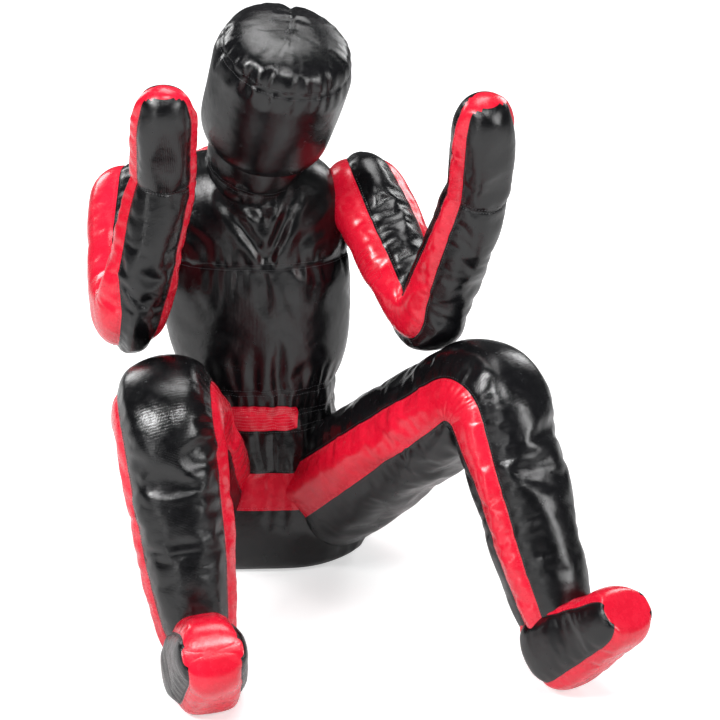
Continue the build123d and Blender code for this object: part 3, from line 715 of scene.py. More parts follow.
if USE_SIM:
    for key, skin in skins.items():
        p = {"torso": 3.0, "head": 5.0, "neck": 2.0}.get(key, 5.5)
        cloth(skin.obj, skin, p)
    sc = bpy.context.scene
    for f in range(1, FRAMES + 1):
        sc.frame_set(f)
    dg = bpy.context.evaluated_depsgraph_get()
    for key, skin in skins.items():
        ev = skin.obj.evaluated_get(dg)
        co = np.empty(len(skin.obj.data.vertices) * 3, np.float32)
        ev.data.vertices.foreach_get("co", co)
        skin.obj["_ok"] = bool(np.isfinite(co).all())
        if np.isfinite(co).all():
            HIDDEN[key] = co.copy()
    for key, skin in skins.items():
        skin.obj.modifiers.clear()
        if key in HIDDEN:
            # keep the wrinkles, not the drift: the patterns hold the overall shape
            R, C, _ = skin.V.shape
            G = HIDDEN[key].reshape(-1, 3)[:R * C].reshape(R, C, 3).astype(float) / MM
            D = G - skin.V
            D = D - low_pass(D, WRINKLE[key][0])
            size = np.linalg.norm(D, axis=2, keepdims=True)
            D *= WRINKLE[key][1] * np.tanh(size / 9.0) / np.maximum(size / 9.0, 1e-6)
            D[skin.inner] *= 0.2
            ends = np.minimum(np.arange(R), np.arange(R)[::-1])
            D *= smooth(0, 4, ends)[:, None, None]
            D *= getattr(skin, "calm", 1.0)
            W = skin.V + D
            if key.endswith("foot"):
                W[..., 2] = np.maximum(W[..., 2], 0.2)
            if key == "torso":
                W[..., 2] = np.maximum(W[..., 2], 0.0)
                keep = (skin.V[..., 2] < 3) | (skin.pin > 0.9)
                W[keep] = skin.V[keep]
            co = HIDDEN[key].reshape(-1, 3).copy()
            co[:R * C] = (W * MM).reshape(-1, 3)
            for i in range(R * C, len(co)):
                co[i] = skin.obj.data.vertices[i].co
            skin.obj.data.vertices.foreach_set("co", co.ravel())
            skin.obj.data.update()
    sc.frame_set(1)

# ------------------------------------------------------------- materials
def material(name):
    m = bpy.data.materials.new(name)
    m.use_nodes = True
    nt = m.node_tree
    nt.nodes.clear()
    out = nt.nodes.new("ShaderNodeOutputMaterial")
    bsdf = nt.nodes.new("ShaderNodeBsdfPrincipled")
    nt.links.new(bsdf.outputs[0], out.inputs[0])
    return m, nt, bsdf


def node(nt, kind, **values):
    n = nt.nodes.new(kind)
    for k, v in values.items():
        if k in n.inputs:
            n.inputs[k].default_value = v
        else:
            setattr(n, k, v)
    return n


def vinyl(name, dark, light, rough, weave, grain, coat=0.0, spec=0.5, crush=0.3):
    m, nt, b = material(name)
    L = nt.links
    coord = nt.nodes.new("ShaderNodeTexCoord")
    # woven backing cloth showing through the film
    mapping = node(nt, "ShaderNodeMapping")
    L.new(coord.outputs["UV"], mapping.inputs["Vector"])
    mapping.inputs["Rotation"].default_value = (0, 0, math.radians(3))
    w1 = node(nt, "ShaderNodeTexWave", wave_type="BANDS", bands_direction="X", Scale=165.0, Distortion=1.8)
    w2 = node(nt, "ShaderNodeTexWave", wave_type="BANDS", bands_direction="Y", Scale=165.0, Distortion=1.8)
    for w in (w1, w2):
        w.inputs["Detail"].default_value = 1.0
        L.new(mapping.outputs[0], w.inputs["Vector"])
    mul = node(nt, "ShaderNodeMath", operation="MULTIPLY")
    L.new(w1.outputs["Fac"], mul.inputs[0]); L.new(w2.outputs["Fac"], mul.inputs[1])
    fine = node(nt, "ShaderNodeTexNoise", Scale=620.0, Detail=3.0, Roughness=0.6)
    L.new(coord.outputs["Object"], fine.inputs["Vector"])
    mid = node(nt, "ShaderNodeTexNoise", Scale=90.0, Detail=4.0, Roughness=0.55)
    L.new(coord.outputs["Object"], mid.inputs["Vector"])
    broad = node(nt, "ShaderNodeTexNoise", Scale=7.0, Detail=3.0, Roughness=0.5)
    L.new(coord.outputs["Object"], broad.inputs["Vector"])
    # crumpled film: stretched, folded noise
    crumple = node(nt, "ShaderNodeTexNoise", Scale=26.0, Detail=1.0, Roughness=0.45, Distortion=0.9)
    L.new(coord.outputs["Object"], crumple.inputs["Vector"])
    # colour: dark in the worn lows, lighter where the film is rubbed
    ramp = nt.nodes.new("ShaderNodeValToRGB")
    ramp.color_ramp.elements[0].position = 0.3
    ramp.color_ramp.elements[0].color = (*dark, 1)
    ramp.color_ramp.elements[1].position = 0.75
    ramp.color_ramp.elements[1].color = (*light, 1)
    mix = node(nt, "ShaderNodeMath", operation="MULTIPLY_ADD")
    L.new(mid.outputs["Fac"], mix.inputs[0]); mix.inputs[1].default_value = 0.35
    L.new(broad.outputs["Fac"], mix.inputs[2])
    sub = node(nt, "ShaderNodeMath", operation="SUBTRACT"); sub.inputs[1].default_value = 0.17
    L.new(mix.outputs[0], sub.inputs[0])
    L.new(sub.outputs[0], ramp.inputs["Fac"])
    L.new(ramp.outputs["Color"], b.inputs["Base Color"])
    # roughness
    rr = node(nt, "ShaderNodeMapRange")
    rr.inputs["From Min"].default_value = 0.3; rr.inputs["From Max"].default_value = 0.7
    rr.inputs["To Min"].default_value = rough - 0.05; rr.inputs["To Max"].default_value = rough + 0.09
    L.new(mid.outputs["Fac"], rr.inputs["Value"])
    L.new(rr.outputs["Result"], b.inputs["Roughness"])
    b.inputs["Specular IOR Level"].default_value = spec
    b.inputs["Coat Weight"].default_value = coat
    b.inputs["Coat Roughness"].default_value = 0.16
    # bump: weave, then grain
    bump1 = node(nt, "ShaderNodeBump", Strength=weave, Distance=0.00016)
    L.new(mul.outputs[0], bump1.inputs["Height"])
    bump2 = node(nt, "ShaderNodeBump", Strength=grain, Distance=0.00022)
    L.new(fine.outputs["Fac"], bump2.inputs["Height"])
    L.new(bump1.outputs[0], bump2.inputs["Normal"])
    bump3 = node(nt, "ShaderNodeBump", Strength=0.25, Distance=0.0016)
    L.new(mid.outputs["Fac"], bump3.inputs["Height"])
    L.new(bump2.outputs[0], bump3.inputs["Normal"])
    bump4 = node(nt, "ShaderNodeBump", Strength=crush, Distance=0.0042)
    L.new(crumple.outputs["Fac"], bump4.inputs["Height"])
    L.new(bump3.outputs[0], bump4.inputs["Normal"])
    L.new(bump4.outputs[0], b.inputs["Normal"])
    return m


BLACK = vinyl("black_vinyl_skin", (0.0018, 0.0018, 0.0022), (0.005, 0.005, 0.006), 0.19, 0.5, 0.6, coat=0.0, spec=0.55, crush=0.22)
RED = vinyl("red_vinyl_skin", (0.62, 0.004, 0.022), (0.83, 0.010, 0.040), 0.25, 0.15, 0.08, coat=0.2, crush=0.12)


def thread(name, colour):
    m, nt, b = material(name)
    coord = nt.nodes.new("ShaderNodeTexCoord")
    n1 = node(nt, "ShaderNodeTexNoise", Scale=900.0, Detail=2.0)
    nt.links.new(coord.outputs["Object"], n1.inputs["Vector"])
    ramp = nt.nodes.new("ShaderNodeValToRGB")
    ramp.color_ramp.elements[0].color = (*[c * 0.6 for c in colour], 1)
    ramp.color_ramp.elements[1].color = (*[min(1, c * 1.3) for c in colour], 1)
    nt.links.new(n1.outputs["Fac"], ramp.inputs["Fac"])
    nt.links.new(ramp.outputs["Color"], b.inputs["Base Color"])
    b.inputs["Roughness"].default_value = 0.55
    bump = node(nt, "ShaderNodeBump", Strength=0.5, Distance=0.0004)
    nt.links.new(n1.outputs["Fac"], bump.inputs["Height"])
    nt.links.new(bump.outputs[0], b.inputs["Normal"])
    return m


THREAD_K = thread("black_thread", (0.075, 0.075, 0.08))
THREAD_R = thread("red_thread", (0.72, 0.06, 0.09))
# patch thread: red thread lightened to pink; the pink lift is painted reflection of the studio lights on the stitched
# rows
THREAD_P_SHEEN = thread("patch_thread_painted_sheen", (0.80, 0.22, 0.24))

# --------------------------------------------------------- split in panels
def finished(skin):
    """The subdivided surface: vertices, normals, polygons, row/col of each polygon, uv and along."""
    obj = skin.obj
    sub = obj.modifiers.new("sub", "SUBSURF")
    sub.levels = sub.render_levels = 1
    dg = bpy.context.evaluated_depsgraph_get()
    mesh = bpy.data.meshes.new_from_object(obj.evaluated_get(dg))
    n, p, l = len(mesh.vertices), len(mesh.polygons), len(mesh.loops)
    co = np.empty(n * 3, np.float32); mesh.vertices.foreach_get("co", co)
    no = np.empty(n * 3, np.float32); mesh.vertex_normals.foreach_get("vector", no)
    start = np.empty(p, np.int32); mesh.polygons.foreach_get("loop_start", start)
    total = np.empty(p, np.int32); mesh.polygons.foreach_get("loop_total", total)
    li = np.empty(l, np.int32); mesh.loops.foreach_get("vertex_index", li)
    uv = np.empty(l * 2, np.float32); mesh.uv_layers[0].data.foreach_get("uv", uv)
    row = np.empty(p, np.int32); mesh.attributes["row"].data.foreach_get("value", row)
    col = np.empty(p, np.int32); mesh.attributes["col"].data.foreach_get("value", col)
    al = np.empty(n, np.float32); mesh.attributes["along"].data.foreach_get("value", al)
    bpy.data.meshes.remove(mesh)
    return dict(co=co.reshape(-1, 3), no=no.reshape(-1, 3), start=start, total=total, li=li, uv=uv.reshape(-1, 2), row=row, col=col, along=al)


def make_piece(name, F, mask, mat, stitches=None, thread_mat=None):
    polys = np.nonzero(mask)[0]
    loops = [F["li"][F["start"][p]:F["start"][p] + F["total"][p]] for p in polys]
    uvs = np.concatenate([F["uv"][F["start"][p]:F["start"][p] + F["total"][p]] for p in polys])
    flat_loops = np.concatenate(loops)
    used, inv = np.unique(flat_loops, return_inverse=True)
    lens = [len(x) for x in loops]
    faces, k = [], 0
    for n_ in lens:
        faces.append(inv[k:k + n_].tolist()); k += n_
    co = F["co"][used].tolist()
    nv = len(co)
    normals = F["no"][used].tolist()
    along = F["along"][used].tolist()
    mat_idx = [0] * len(faces)
    if stitches is not None and len(stitches[0]):
        sv, sf, sn, sa = stitches
        faces += [[i + nv for i in f] for f in sf]
        mat_idx += [1] * len(sf)
        co += sv; normals += sn; along += sa
        uvs = np.concatenate([uvs, np.zeros((sum(len(f) for f in sf), 2), np.float32)])
    mesh = bpy.data.meshes.new(name)
    mesh.from_pydata(co, [], faces)
    layer = mesh.uv_layers.new(name="UVMap")
    layer.data.foreach_set("uv", uvs.astype(np.float32).ravel())
    mesh.materials.append(mat)
    if thread_mat:
        mesh.materials.append(thread_mat)
    mesh.polygons.foreach_set("material_index", mat_idx)
    mesh.polygons.foreach_set("use_smooth", [True] * len(faces))
    mesh.update()
    mesh.normals_split_custom_set_from_vertices(normals)
    o = bpy.data.objects.new(name, mesh)
    bpy.context.collection.objects.link(o)
    o["_n"] = nv
    return o, np.array(along, float)


def weights(o, along, a, b, fn):
    c = Vector((0, 0, 0)); e = Vector((0, 0, 1))
    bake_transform(o, a, b, c, e)
    attr = o.data.attributes["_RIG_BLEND"]
    attr.data.foreach_set("value", np.asarray(fn(along), np.float32))


def stitch_run(P, NRM, ALONG, pitch=4.2, length=2.9, width=0.55, height=0.5, lift=0.25):
    """Threads laid along a polyline of surface points (mm)."""
    P, NRM, ALONG = np.asarray(P, float), np.asarray(NRM, float), np.asarray(ALONG, float)
    seg = np.linalg.norm(np.diff(P, axis=0), axis=1)
    cum = np.concatenate([[0], np.cumsum(seg)])
    V, Fc, NN, AA = [], [], [], []
    if cum[-1] < pitch:
        return V, Fc, NN, AA
    for s in np.arange(pitch / 2, cum[-1] - pitch / 2, pitch):
        q = [np.array([np.interp(s + o, cum, P[:, k]) for k in range(3)]) for o in (-length / 2, 0, length / 2)]
        nrm = unit([np.interp(s, cum, NRM[:, k]) for k in range(3)])
        al = float(np.interp(s, cum, ALONG))
        t = q[2] - q[0]
        if np.linalg.norm(t) < 1e-6:
            continue
        t = unit(t); b = np.cross(nrm, t)
        base = len(V)
        ring = [b * width, nrm * height, -b * width, -nrm * height]
        V.append((q[0] + nrm * (lift - 0.25)) * MM)
        V += [(q[1] + nrm * lift + r) * MM for r in ring]
        V.append((q[2] + nrm * (lift - 0.25)) * MM)
        NN += [tuple(-t)] + [tuple(unit(r)) for r in ring] + [tuple(t)]
        AA += [al] * 6
        for k in range(4):
            k2 = (k + 1) % 4
            Fc.append([base, base + 1 + k2, base + 1 + k])
            Fc.append([base + 5, base + 1 + k, base + 1 + k2])
    return [tuple(v) for v in V], Fc, NN, AA


def join_runs(runs):
    V, Fc, NN, AA = [], [], [], []
    for v, f, n_, a_ in runs:
        base = len(V)
        V += v; Fc += [[i + base for i in x] for x in f]; NN += n_; AA += a_
    return V, Fc, NN, AA


def surface(skin):
    """Sampler of the settled grid: position and normal at fractional row, column (mm)."""
    G = grid_world(skin.obj, skin)
    du = np.roll(G, -1, 1) - np.roll(G, 1, 1)
    dv = np.gradient(G, axis=0)
    Nn = np.cross(du, dv)
    Nn /= np.linalg.norm(Nn, axis=2, keepdims=True) + 1e-12
    if (Nn * skin.N).sum() < 0:
        Nn = -Nn
    skin.G, skin.GN = G, Nn

    def at(r, c):
        R, C, _ = G.shape
        r = np.clip(r, 0, R - 1.001); r0 = int(r); fr = r - r0
        c = c % C; c0 = int(c); fc = c - c0; c1 = (c0 + 1) % C
        def mixg(A):
            return (A[r0, c0] * (1 - fc) + A[r0, c1] * fc) * (1 - fr) + (A[r0 + 1, c0] * (1 - fc) + A[r0 + 1, c1] * fc) * fr
        return mixg(G), unit(mixg(Nn))
    return at


def stitch_rows(skin, at, path, **k):
    P, NN, AA = [], [], []
    for r, c in path:
        p, n_ = at(r, c)
        P.append(p); NN.append(n_); AA.append(float(np.interp(r, np.arange(len(skin.s)), skin.s)))
    return stitch_run(P, NN, AA, **k)

# ------------------------------------------------------------ named pieces
def rows_of(skin, lo, hi):
    return np.array([lo <= s for s in skin.s[:-1]]) & np.array([s < hi for s in skin.s[:-1]])


def row_at(skin, s):
    return float(np.interp(s, skin.s, np.arange(len(skin.s))))


JOINT_HALF = 34.0
for side in ("left", "right"):
    skin = skins[side + "_arm"]
    at = surface(skin)
    F = finished(skin)
    c0, c1, c2, c3 = skin.seam_cols
    C = skin.V.shape[1]
    black = ((F["col"] >= c1) & (F["col"] < c2)) | (F["col"] >= c3)
    r_el, r_wr = row_at(skin, UPPER), row_at(skin, 487.0)
    # the black hand panels end in a round, so the red band runs over the finger tips
    off_mid = np.minimum(abs(F["col"] + 0.5 - (c1 + c2) / 2) / ((c2 - c1) / 2), abs(F["col"] + 0.5 - (c3 + C) / 2) / ((C - c3) / 2))
    black &= F["row"] < row_at(skin, 646.0) - 2.6 * np.clip(off_mid, 0, 1) ** 3
    seg = np.where(F["row"] < round(r_el), 0, np.where(F["row"] < round(r_wr), 1, 2))
    tau = skin.fold["tau"]
    fold_w = lambda s, tau=tau: smooth(UPPER - tau - 8, UPPER + tau + 8, s)
    hand_w = lambda s: smooth(489, 540, s)
    # stitching: both sides of the wrist seam, and the reinforced patch inside the upper arm
    wrist_st = []
    for off in (-0.75, 0.75):
        cols = np.linspace(0, C, C * 2 + 1)
        wrist_st.append(cols)
    specs = [
        (0, "upper_arm", True), (0, "upper_arm", False), (1, "forearm", True), (1, "forearm", False), (2, "hand", True), (2, "hand", False),
    ]
    for k, label, is_black in specs:
        runs = []
        if label == "forearm":
            a_, b_ = ((c1, c2), (c3, C)) if is_black else ((c0, c1), (c2, c3))
            for lo, hi in (a_, b_):
                runs.append(stitch_rows(skin, at, [(r_wr - 0.9, c) for c in np.linspace(lo + 0.2, hi - 0.2, 40)]))
        if label == "hand":
            a_, b_ = ((c1, c2), (c3, C)) if is_black else ((c0, c1), (c2, c3))
            for lo, hi in (a_, b_):
                runs.append(stitch_rows(skin, at, [(r_wr + 0.9, c) for c in np.linspace(lo + 0.2, hi - 0.2, 40)]))
        # a line of stitches just inside each long seam
        lo_r = {"upper_arm": row_at(skin, 0), "forearm": r_el + 1, "hand": r_wr + 2}[label]
        hi_r = {"upper_arm": r_el - 1, "forearm": r_wr - 1.5, "hand": row_at(skin, 620)}[label]
        for c in skin.seam_cols:
            inside_black = (c in (c1, c3))
            off = 0.55 if (inside_black == is_black) else -0.55
            runs.append(stitch_rows(skin, at, [(r, c + off) for r in np.linspace(lo_r, hi_r, 120)]))
        if label == "upper_arm" and not is_black:
            med = (c0, c1) if side == "left" else (c2, c3)
            mc = (med[0] + med[1]) / 2
            for j in range(9):
                rr = row_at(skin, 112 + j * 6.5)
                runs.append(stitch_rows(skin, at, [(rr, c) for c in np.linspace(mc - 2.6, mc + 2.6, 14)], pitch=3.6, length=2.8, height=0.6))
            for cc in (mc - 2.7, mc + 2.7):
                runs.append(stitch_rows(skin, at, [(r, cc) for r in np.linspace(row_at(skin, 109), row_at(skin, 168), 20)], pitch=3.6, length=2.8, height=0.6))
        st = join_runs(runs)
        node = f"{side}_{label}_" + ("black_panels" if is_black else ("red_band" if label == "hand" else "red_panels"))
        o, along = make_piece(node + "_skin", F, (seg == k) & (black == is_black), BLACK if is_black else RED, st, THREAD_K if is_black else THREAD_R)
        if label == "hand":
            weights(o, along, f"{side}_forearm", f"{side}_hand", hand_w)
        else:
            weights(o, along, f"{side}_upper_arm", f"{side}_forearm", fold_w)
        nodes = [node]
        if is_black:
            nodes.append(f"{side}_{label}_stuffing")
            if label == "upper_arm":
                nodes.append(f"{side}_shoulder_stuffing")
        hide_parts(*nodes)
    bpy.data.objects.remove(skin.obj)

    skin = skins[side + "_leg"]
    at = surface(skin)
    F = finished(skin)
    c0, c1, c2, c3 = skin.seam_cols
    C = skin.V.shape[1]
    black = ((F["col"] >= c1) & (F["col"] < c2)) | (F["col"] >= c3)
    r_kn = row_at(skin, THIGH)
    seg = np.where(F["row"] < round(r_kn), 0, 1)
    tau = skin.fold["tau"]
    fold_w = lambda s, tau=tau: smooth(THIGH - tau - 10, THIGH + tau + 10, s)
    for k, label, is_black in [(0, "thigh", True), (0, "thigh", False), (1, "shin", True), (1, "shin", False)]:
        runs = []
        lo_r = {"thigh": row_at(skin, 60), "shin": r_kn + 1}[label]
        hi_r = {"thigh": r_kn - 1, "shin": row_at(skin, THIGH + SHIN + 10)}[label]
        for c in skin.seam_cols:
            inside_black = (c in (c1, c3))
            off = 0.55 if (inside_black == is_black) else -0.55
            runs.append(stitch_rows(skin, at, [(r, c + off) for r in np.linspace(lo_r, hi_r, 160)]))
        st = join_runs(runs)
        node = f"{side}_{label}_" + ("black_panels" if is_black else "red_panels")
        o, along = make_piece(node + "_skin", F, (seg == k) & (black == is_black), BLACK if is_black else RED, st, THREAD_K if is_black else THREAD_R)
        weights(o, along, f"{side}_thigh", f"{side}_shin", fold_w)
        nodes = [node]
        if is_black:
            nodes.append(f"{side}_{label}_stuffing")
            if label == "thigh":
                nodes.append(f"{side}_hip_stuffing")
        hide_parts(*nodes)
    bpy.data.objects.remove(skin.obj)

    skin = skins[side + "_foot"]
    at = surface(skin)
    F = finished(skin)
    C = 64
    s0, s1, s2, s3 = skin.seam_cols
    n = skin.V.shape[0]
    end_row = n - 3
    heel_row = 4
    col, row = F["col"], F["row"]
    band = ((col >= s0) & (col < s1)) | ((col >= s2) & (col < s3)) | (row >= end_row) | (row < 1)
    for is_band in (False, True):
        runs = []
        for c, sgn in ((s0, 1), (s1, -1), (s2, 1), (s3, -1)):
            off = 0.6 * sgn * (1 if is_band else -1)
            runs.append(stitch_rows(skin, at, [(r, c + off) for r in np.linspace(heel_row + 1, end_row - 0.5, 80)]))
        node = f"{side}_foot_" + ("red_band" if is_band else "side_panels")
        o, along = make_piece(node + "_skin", F, band == is_band, RED if is_band else BLACK, join_runs(runs), THREAD_R if is_band else THREAD_K)
        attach(o, f"{side}_foot")
        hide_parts(node, *([] if is_band else [f"{side}_foot_stuffing"]))
    bpy.data.objects.remove(skin.obj)

# torso
skin = skins["torso"]
at = surface(skin)
F = finished(skin)
C = skin.V.shape[1]
g0, g1, g2, g3 = skin.seam_cols
z = skin.s
rz = lambda v: int(round(row_at(skin, v)))
row, col = F["row"], F["col"]
front = col >= g3
mid = skin.V[:, :, 0]
face_x = mid[np.clip(row, 0, len(z) - 1), col % C]
zipstrip = (col >= g1) & (col < g2)
r236, r297, r500, r112, r168 = rz(236), rz(297), rz(500), rz(112), rz(168)
lab = np.full(len(row), 0)
lab[row < r236] = 1                                            # seat
lab[(row < r236) & (row >= r168) & front] = 2                  # crotch panel
lab[(row < r168) & (row >= r112) & front & (abs(face_x) < 110)] = 3   # crotch band
lab[(row >= r236) & (row < r297)] = 4
lab[(row >= r297) & ~front] = 5
lab[(row >= r297) & front & (row < r500)] = 6
lab[(row >= r500) & front] = 7
pel_w = lambda s: smooth(185, 262, s)
che_w = lambda s: smooth(298, 350, s)


def level(r, lo, hi, n_=160, **k):
    return stitch_rows(skin, at, [(r, c) for c in np.linspace(lo, hi, n_)], **k)


plan = {
    1: ("seat_panel", "seat_panel", ["seat_panel", "pelvis_stuffing"], BLACK, THREAD_K, ("pelvis", "abdomen", pel_w), "black_vinyl", []),
    2: ("crotch_panel", "crotch_panel", ["crotch_panel"], BLACK, THREAD_K, ("pelvis", "abdomen", pel_w), "black_vinyl",
        [level(r236 - 0.7, g3 + .5, C - .5), level(r168 + 0.7, g3 + 20, C - 20, 80)]),
    3: ("crotch_band", "crotch_band", ["crotch_band"], RED, THREAD_R, ("pelvis", "abdomen", pel_w), "red_vinyl",
        [level(r168 - 0.7, g3 + 22, C - 22, 80), level(r112 + 0.7, g3 + 22, C - 22, 80)]),
    4: ("waist_band", "waist_band", ["waist_band", "abdomen_stuffing"], BLACK, THREAD_K, ("pelvis", "abdomen", pel_w), "black_vinyl",
        [level(r236 + 0.7, 0, C), level(r297 - 0.7, 0, C), level(rz(262) - 0.6, g3 + 40, C - 1), level(rz(262) + 0.6, g3 + 40, C - 1)]),
    5: ("back_panels", "back_panels", ["back_panels", "chest_stuffing"], RED, THREAD_R, ("abdomen", "chest", che_w), "red_vinyl",
        [level(r297 + 0.7, 0.5, g1 - .5), level(r297 + 0.7, g2 + .5, g3 - .5)]
        + [stitch_rows(skin, at, [(r, c) for r in np.linspace(r297 + 1, rz(625), 160)]) for c in (0.6, g3 - 0.6, g1 - 1.6, g2 + 1.6)]),
    6: ("chest_front_panel", "chest_front_panel", ["chest_front_panel"], BLACK, THREAD_K, ("abdomen", "chest", che_w), "black_vinyl",
        [level(r297 + 0.7, g3 + .5, C - .5), level(r500 - 0.7, g3 + .5, C - .5)]
        + [stitch_rows(skin, at, [(r, c) for r in np.linspace(r297 + 1, r500 - 1, 100)]) for c in (g3 + 0.6, C - 0.6)]),
    7: ("chest_yoke_panel", "chest_yoke_panel", ["chest_yoke_panel"], BLACK, THREAD_K, ("abdomen", "chest", che_w), "black_vinyl",
        [level(r500 + 0.7, g3 + .5, C - .5)]
        + [stitch_rows(skin, at, [(r, c) for r in np.linspace(r500 + 1, rz(620), 60)]) for c in (g3 + 0.6, C - 0.6)]),
}
for k, (name, node, nodes, mat, thr, (ba, bb, fn), slot_, runs) in plan.items():
    o, along = make_piece(name + "_skin", F, lab == k, mat, join_runs(runs), thr)
    weights(o, along, ba, bb, fn)
    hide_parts(*nodes)
TORSO_G, TORSO_N = skin.G, skin.GN
bpy.data.objects.remove(skin.obj)

# belly patch: a doubled red piece sewn down with many rows
def torso_point(x, zz):
    """Front surface point of the settled torso at x and height z."""
    R, C_, _ = TORSO_G.shape
    cand = TORSO_G[:, g3:, :].reshape(-1, 3)
    nn = TORSO_N[:, g3:, :].reshape(-1, 3)
    m = cand[:, 1] < 0
    cand, nn = cand[m], nn[m]
    d = (cand[:, 0] - x) ** 2 + (cand[:, 2] - zz) ** 2
    i = np.argsort(d)[:6]
    w = 1 / (d[i] + 2.0); w /= w.sum()
    return vec(x, (cand[i, 1] * w).sum(), zz), unit((nn[i] * w[:, None]).sum(0))


def patch(name, cx_, cz_, W, H, mat, thr, rows_n):
    nx, nz = 34, 14
    co, no, uvs, faces = [], [], [], []
    pts = []
    for j in range(nz + 1):
        for i in range(nx + 1):
            u, v = i / nx * 2 - 1, j / nz * 2 - 1
            # rounded corners
            uu = u * math.sqrt(1 - 0.06 * v * v * v * v); vv = v * math.sqrt(1 - 0.20 * u * u * u * u)
            x, zz = cx_ + uu * W / 2, cz_ + vv * H / 2
            p, n_ = torso_point(x, zz)
            edge = min(1 - abs(u), 1 - abs(v) * 0.999)
            lift = 2.0 + 1.0 * float(smooth(0, 0.18, edge)) + 0.5 * abs(math.sin(math.pi * rows_n * (v * 0.5 + 0.5)))
            pts.append((p + n_ * lift, n_))
            co.append(tuple((p + n_ * lift) * MM)); no.append(tuple(n_)); uvs.append((i / nx * W * MM, j / nz * H * MM))
    W1 = nx + 1
    for j in range(nz):
        for i in range(nx):
            faces.append((j * W1 + i, j * W1 + i + 1, (j + 1) * W1 + i + 1, (j + 1) * W1 + i))
    # turned-in edge
    rim = [i for i in range(W1)] + [j * W1 + nx for j in range(1, nz + 1)] + [nz * W1 + i for i in range(nx - 1, -1, -1)] + [j * W1 for j in range(nz - 1, 0, -1)]
    base = len(co)
    for i in rim:
        p, n_ = pts[i]
        co.append(tuple((p - n_ * 5.0) * MM)); no.append(tuple(n_))
        uvs.append(uvs[i])
    for q in range(len(rim)):
        a_, b_ = rim[q], rim[(q + 1) % len(rim)]
        faces.append((b_, a_, base + q, base + (q + 1) % len(rim)))
    F_ = dict(co=np.array(co, np.float32), no=np.array(no, np.float32), start=np.arange(len(faces)) * 4, total=np.full(len(faces), 4),
              li=np.array(faces).ravel(), uv=np.array([uvs[i] for f in faces for i in f], np.float32), row=np.zeros(len(faces)), col=np.zeros(len(faces)),
              along=np.array([c_[2] / MM for c_ in co], np.float32))
    runs = []
    for j in range(rows_n):
        v = (j + 0.5) / rows_n * 2 - 1
        P, NN = [], []
        for u in np.linspace(-0.94, 0.94, 40):
            p, n_ = torso_point(cx_ + u * W / 2, cz_ + v * 0.93 * H / 2)
            P.append(p + n_ * 3.4); NN.append(n_)
        runs.append(stitch_run(P, NN, [q_[2] for q_ in P], pitch=3.6, length=2.9, height=0.55))
    o, along = make_piece(name, F_, np.ones(len(faces), bool), mat, join_runs(runs), thr)
    return o, along


# the patch's stitch rows use the pink patch thread, whose lighter tint is painted reflection
o, along = patch("belly_patch_skin", 3, 254, 108, 38, RED, THREAD_P_SHEEN, 8)
weights(o, along, "pelvis", "abdomen", pel_w)
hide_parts("belly_patch")

# neck and head
skin = skins["neck"]
at = surface(skin); F = finished(skin)
runs = [stitch_rows(skin, at, [(row_at(skin, 14) + d_, c) for c in np.linspace(0, 80, 200)]) for d_ in (-0.7, 0.7)]
o, along = make_piece("neck_band_skin", F, np.ones(len(F["row"]), bool), BLACK, join_runs(runs), THREAD_K)
weights(o, along, "chest", "neck", lambda s: smooth(-12, 26, s))
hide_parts("neck_band", "neck_stuffing")
bpy.data.objects.remove(skin.obj)

skin = skins["head"]
at = surface(skin); F = finished(skin)
r_cap = row_at(skin, 226.0)
side_runs = [stitch_rows(skin, at, [(r_cap - 0.9, c) for c in np.linspace(0, 120, 260)])]
cap_runs = [stitch_rows(skin, at, [(r_cap + 0.9, c) for c in np.linspace(0, 120, 260)])]
side_runs += [stitch_rows(skin, at, [(r, 30 + d_) for r in np.linspace(row_at(skin, 66), r_cap - 2, 90)]) for d_ in (-0.6, 0.6)]
for nm, mask, runs, nodes in (("head_side_panel", F["row"] < round(r_cap), side_runs, ["head_side_panel", "head_stuffing"]), ("head_cap", F["row"] >= round(r_cap), cap_runs, ["head_cap"])):
    o, along = make_piece(nm + "_skin", F, mask, BLACK, join_runs(runs), THREAD_K)
    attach(o, "head"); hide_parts(*nodes)
bpy.data.objects.remove(skin.obj)

# ------------------------------------------------------------------ the zip
def plain(name, base, rough, metallic, scale, bump_s):
    m, nt, b = material(name)
    coord = nt.nodes.new("ShaderNodeTexCoord")
    n1 = node_tex = nt.nodes.new("ShaderNodeTexNoise")
    n1.inputs["Scale"].default_value = scale
    n1.inputs["Detail"].default_value = 5
    nt.links.new(coord.outputs["Object"], n1.inputs["Vector"])
    ramp = nt.nodes.new("ShaderNodeValToRGB")
    ramp.color_ramp.elements[0].color = (*[c * 0.7 for c in base], 1)
    ramp.color_ramp.elements[1].color = (*[min(1, c * 1.3) for c in base], 1)
    nt.links.new(n1.outputs["Fac"], ramp.inputs["Fac"])
    nt.links.new(ramp.outputs["Color"], b.inputs["Base Color"])
    b.inputs["Metallic"].default_value = metallic
    mr = nt.nodes.new("ShaderNodeMapRange")
    mr.inputs["To Min"].default_value = rough - 0.08; mr.inputs["To Max"].default_value = rough + 0.12
    nt.links.new(n1.outputs["Fac"], mr.inputs["Value"])
    nt.links.new(mr.outputs["Result"], b.inputs["Roughness"])
    bump = nt.nodes.new("ShaderNodeBump")
    bump.inputs["Strength"].default_value = bump_s
    bump.inputs["Distance"].default_value = 0.0004
    nt.links.new(n1.outputs["Fac"], bump.inputs["Height"])
    nt.links.new(bump.outputs[0], b.inputs["Normal"])
    return m


TAPE = plain("zip_tape_cloth", (0.02, 0.02, 0.022), 0.8, 0.0, 900, 0.6)
TEETH = plain("zip_coil", (0.04, 0.04, 0.045), 0.4, 0.2, 500, 0.2)
METAL = plain("zip_metal", (0.25, 0.25, 0.26), 0.32, 1.0, 250, 0.15)
for n_, m in (("zip_tape", TAPE), ("zip_teeth", TEETH), ("zip_slider", METAL), ("zip_pull", METAL)):
    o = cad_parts[n_]
    o.data.materials.clear()
    o.data.materials.append(m)

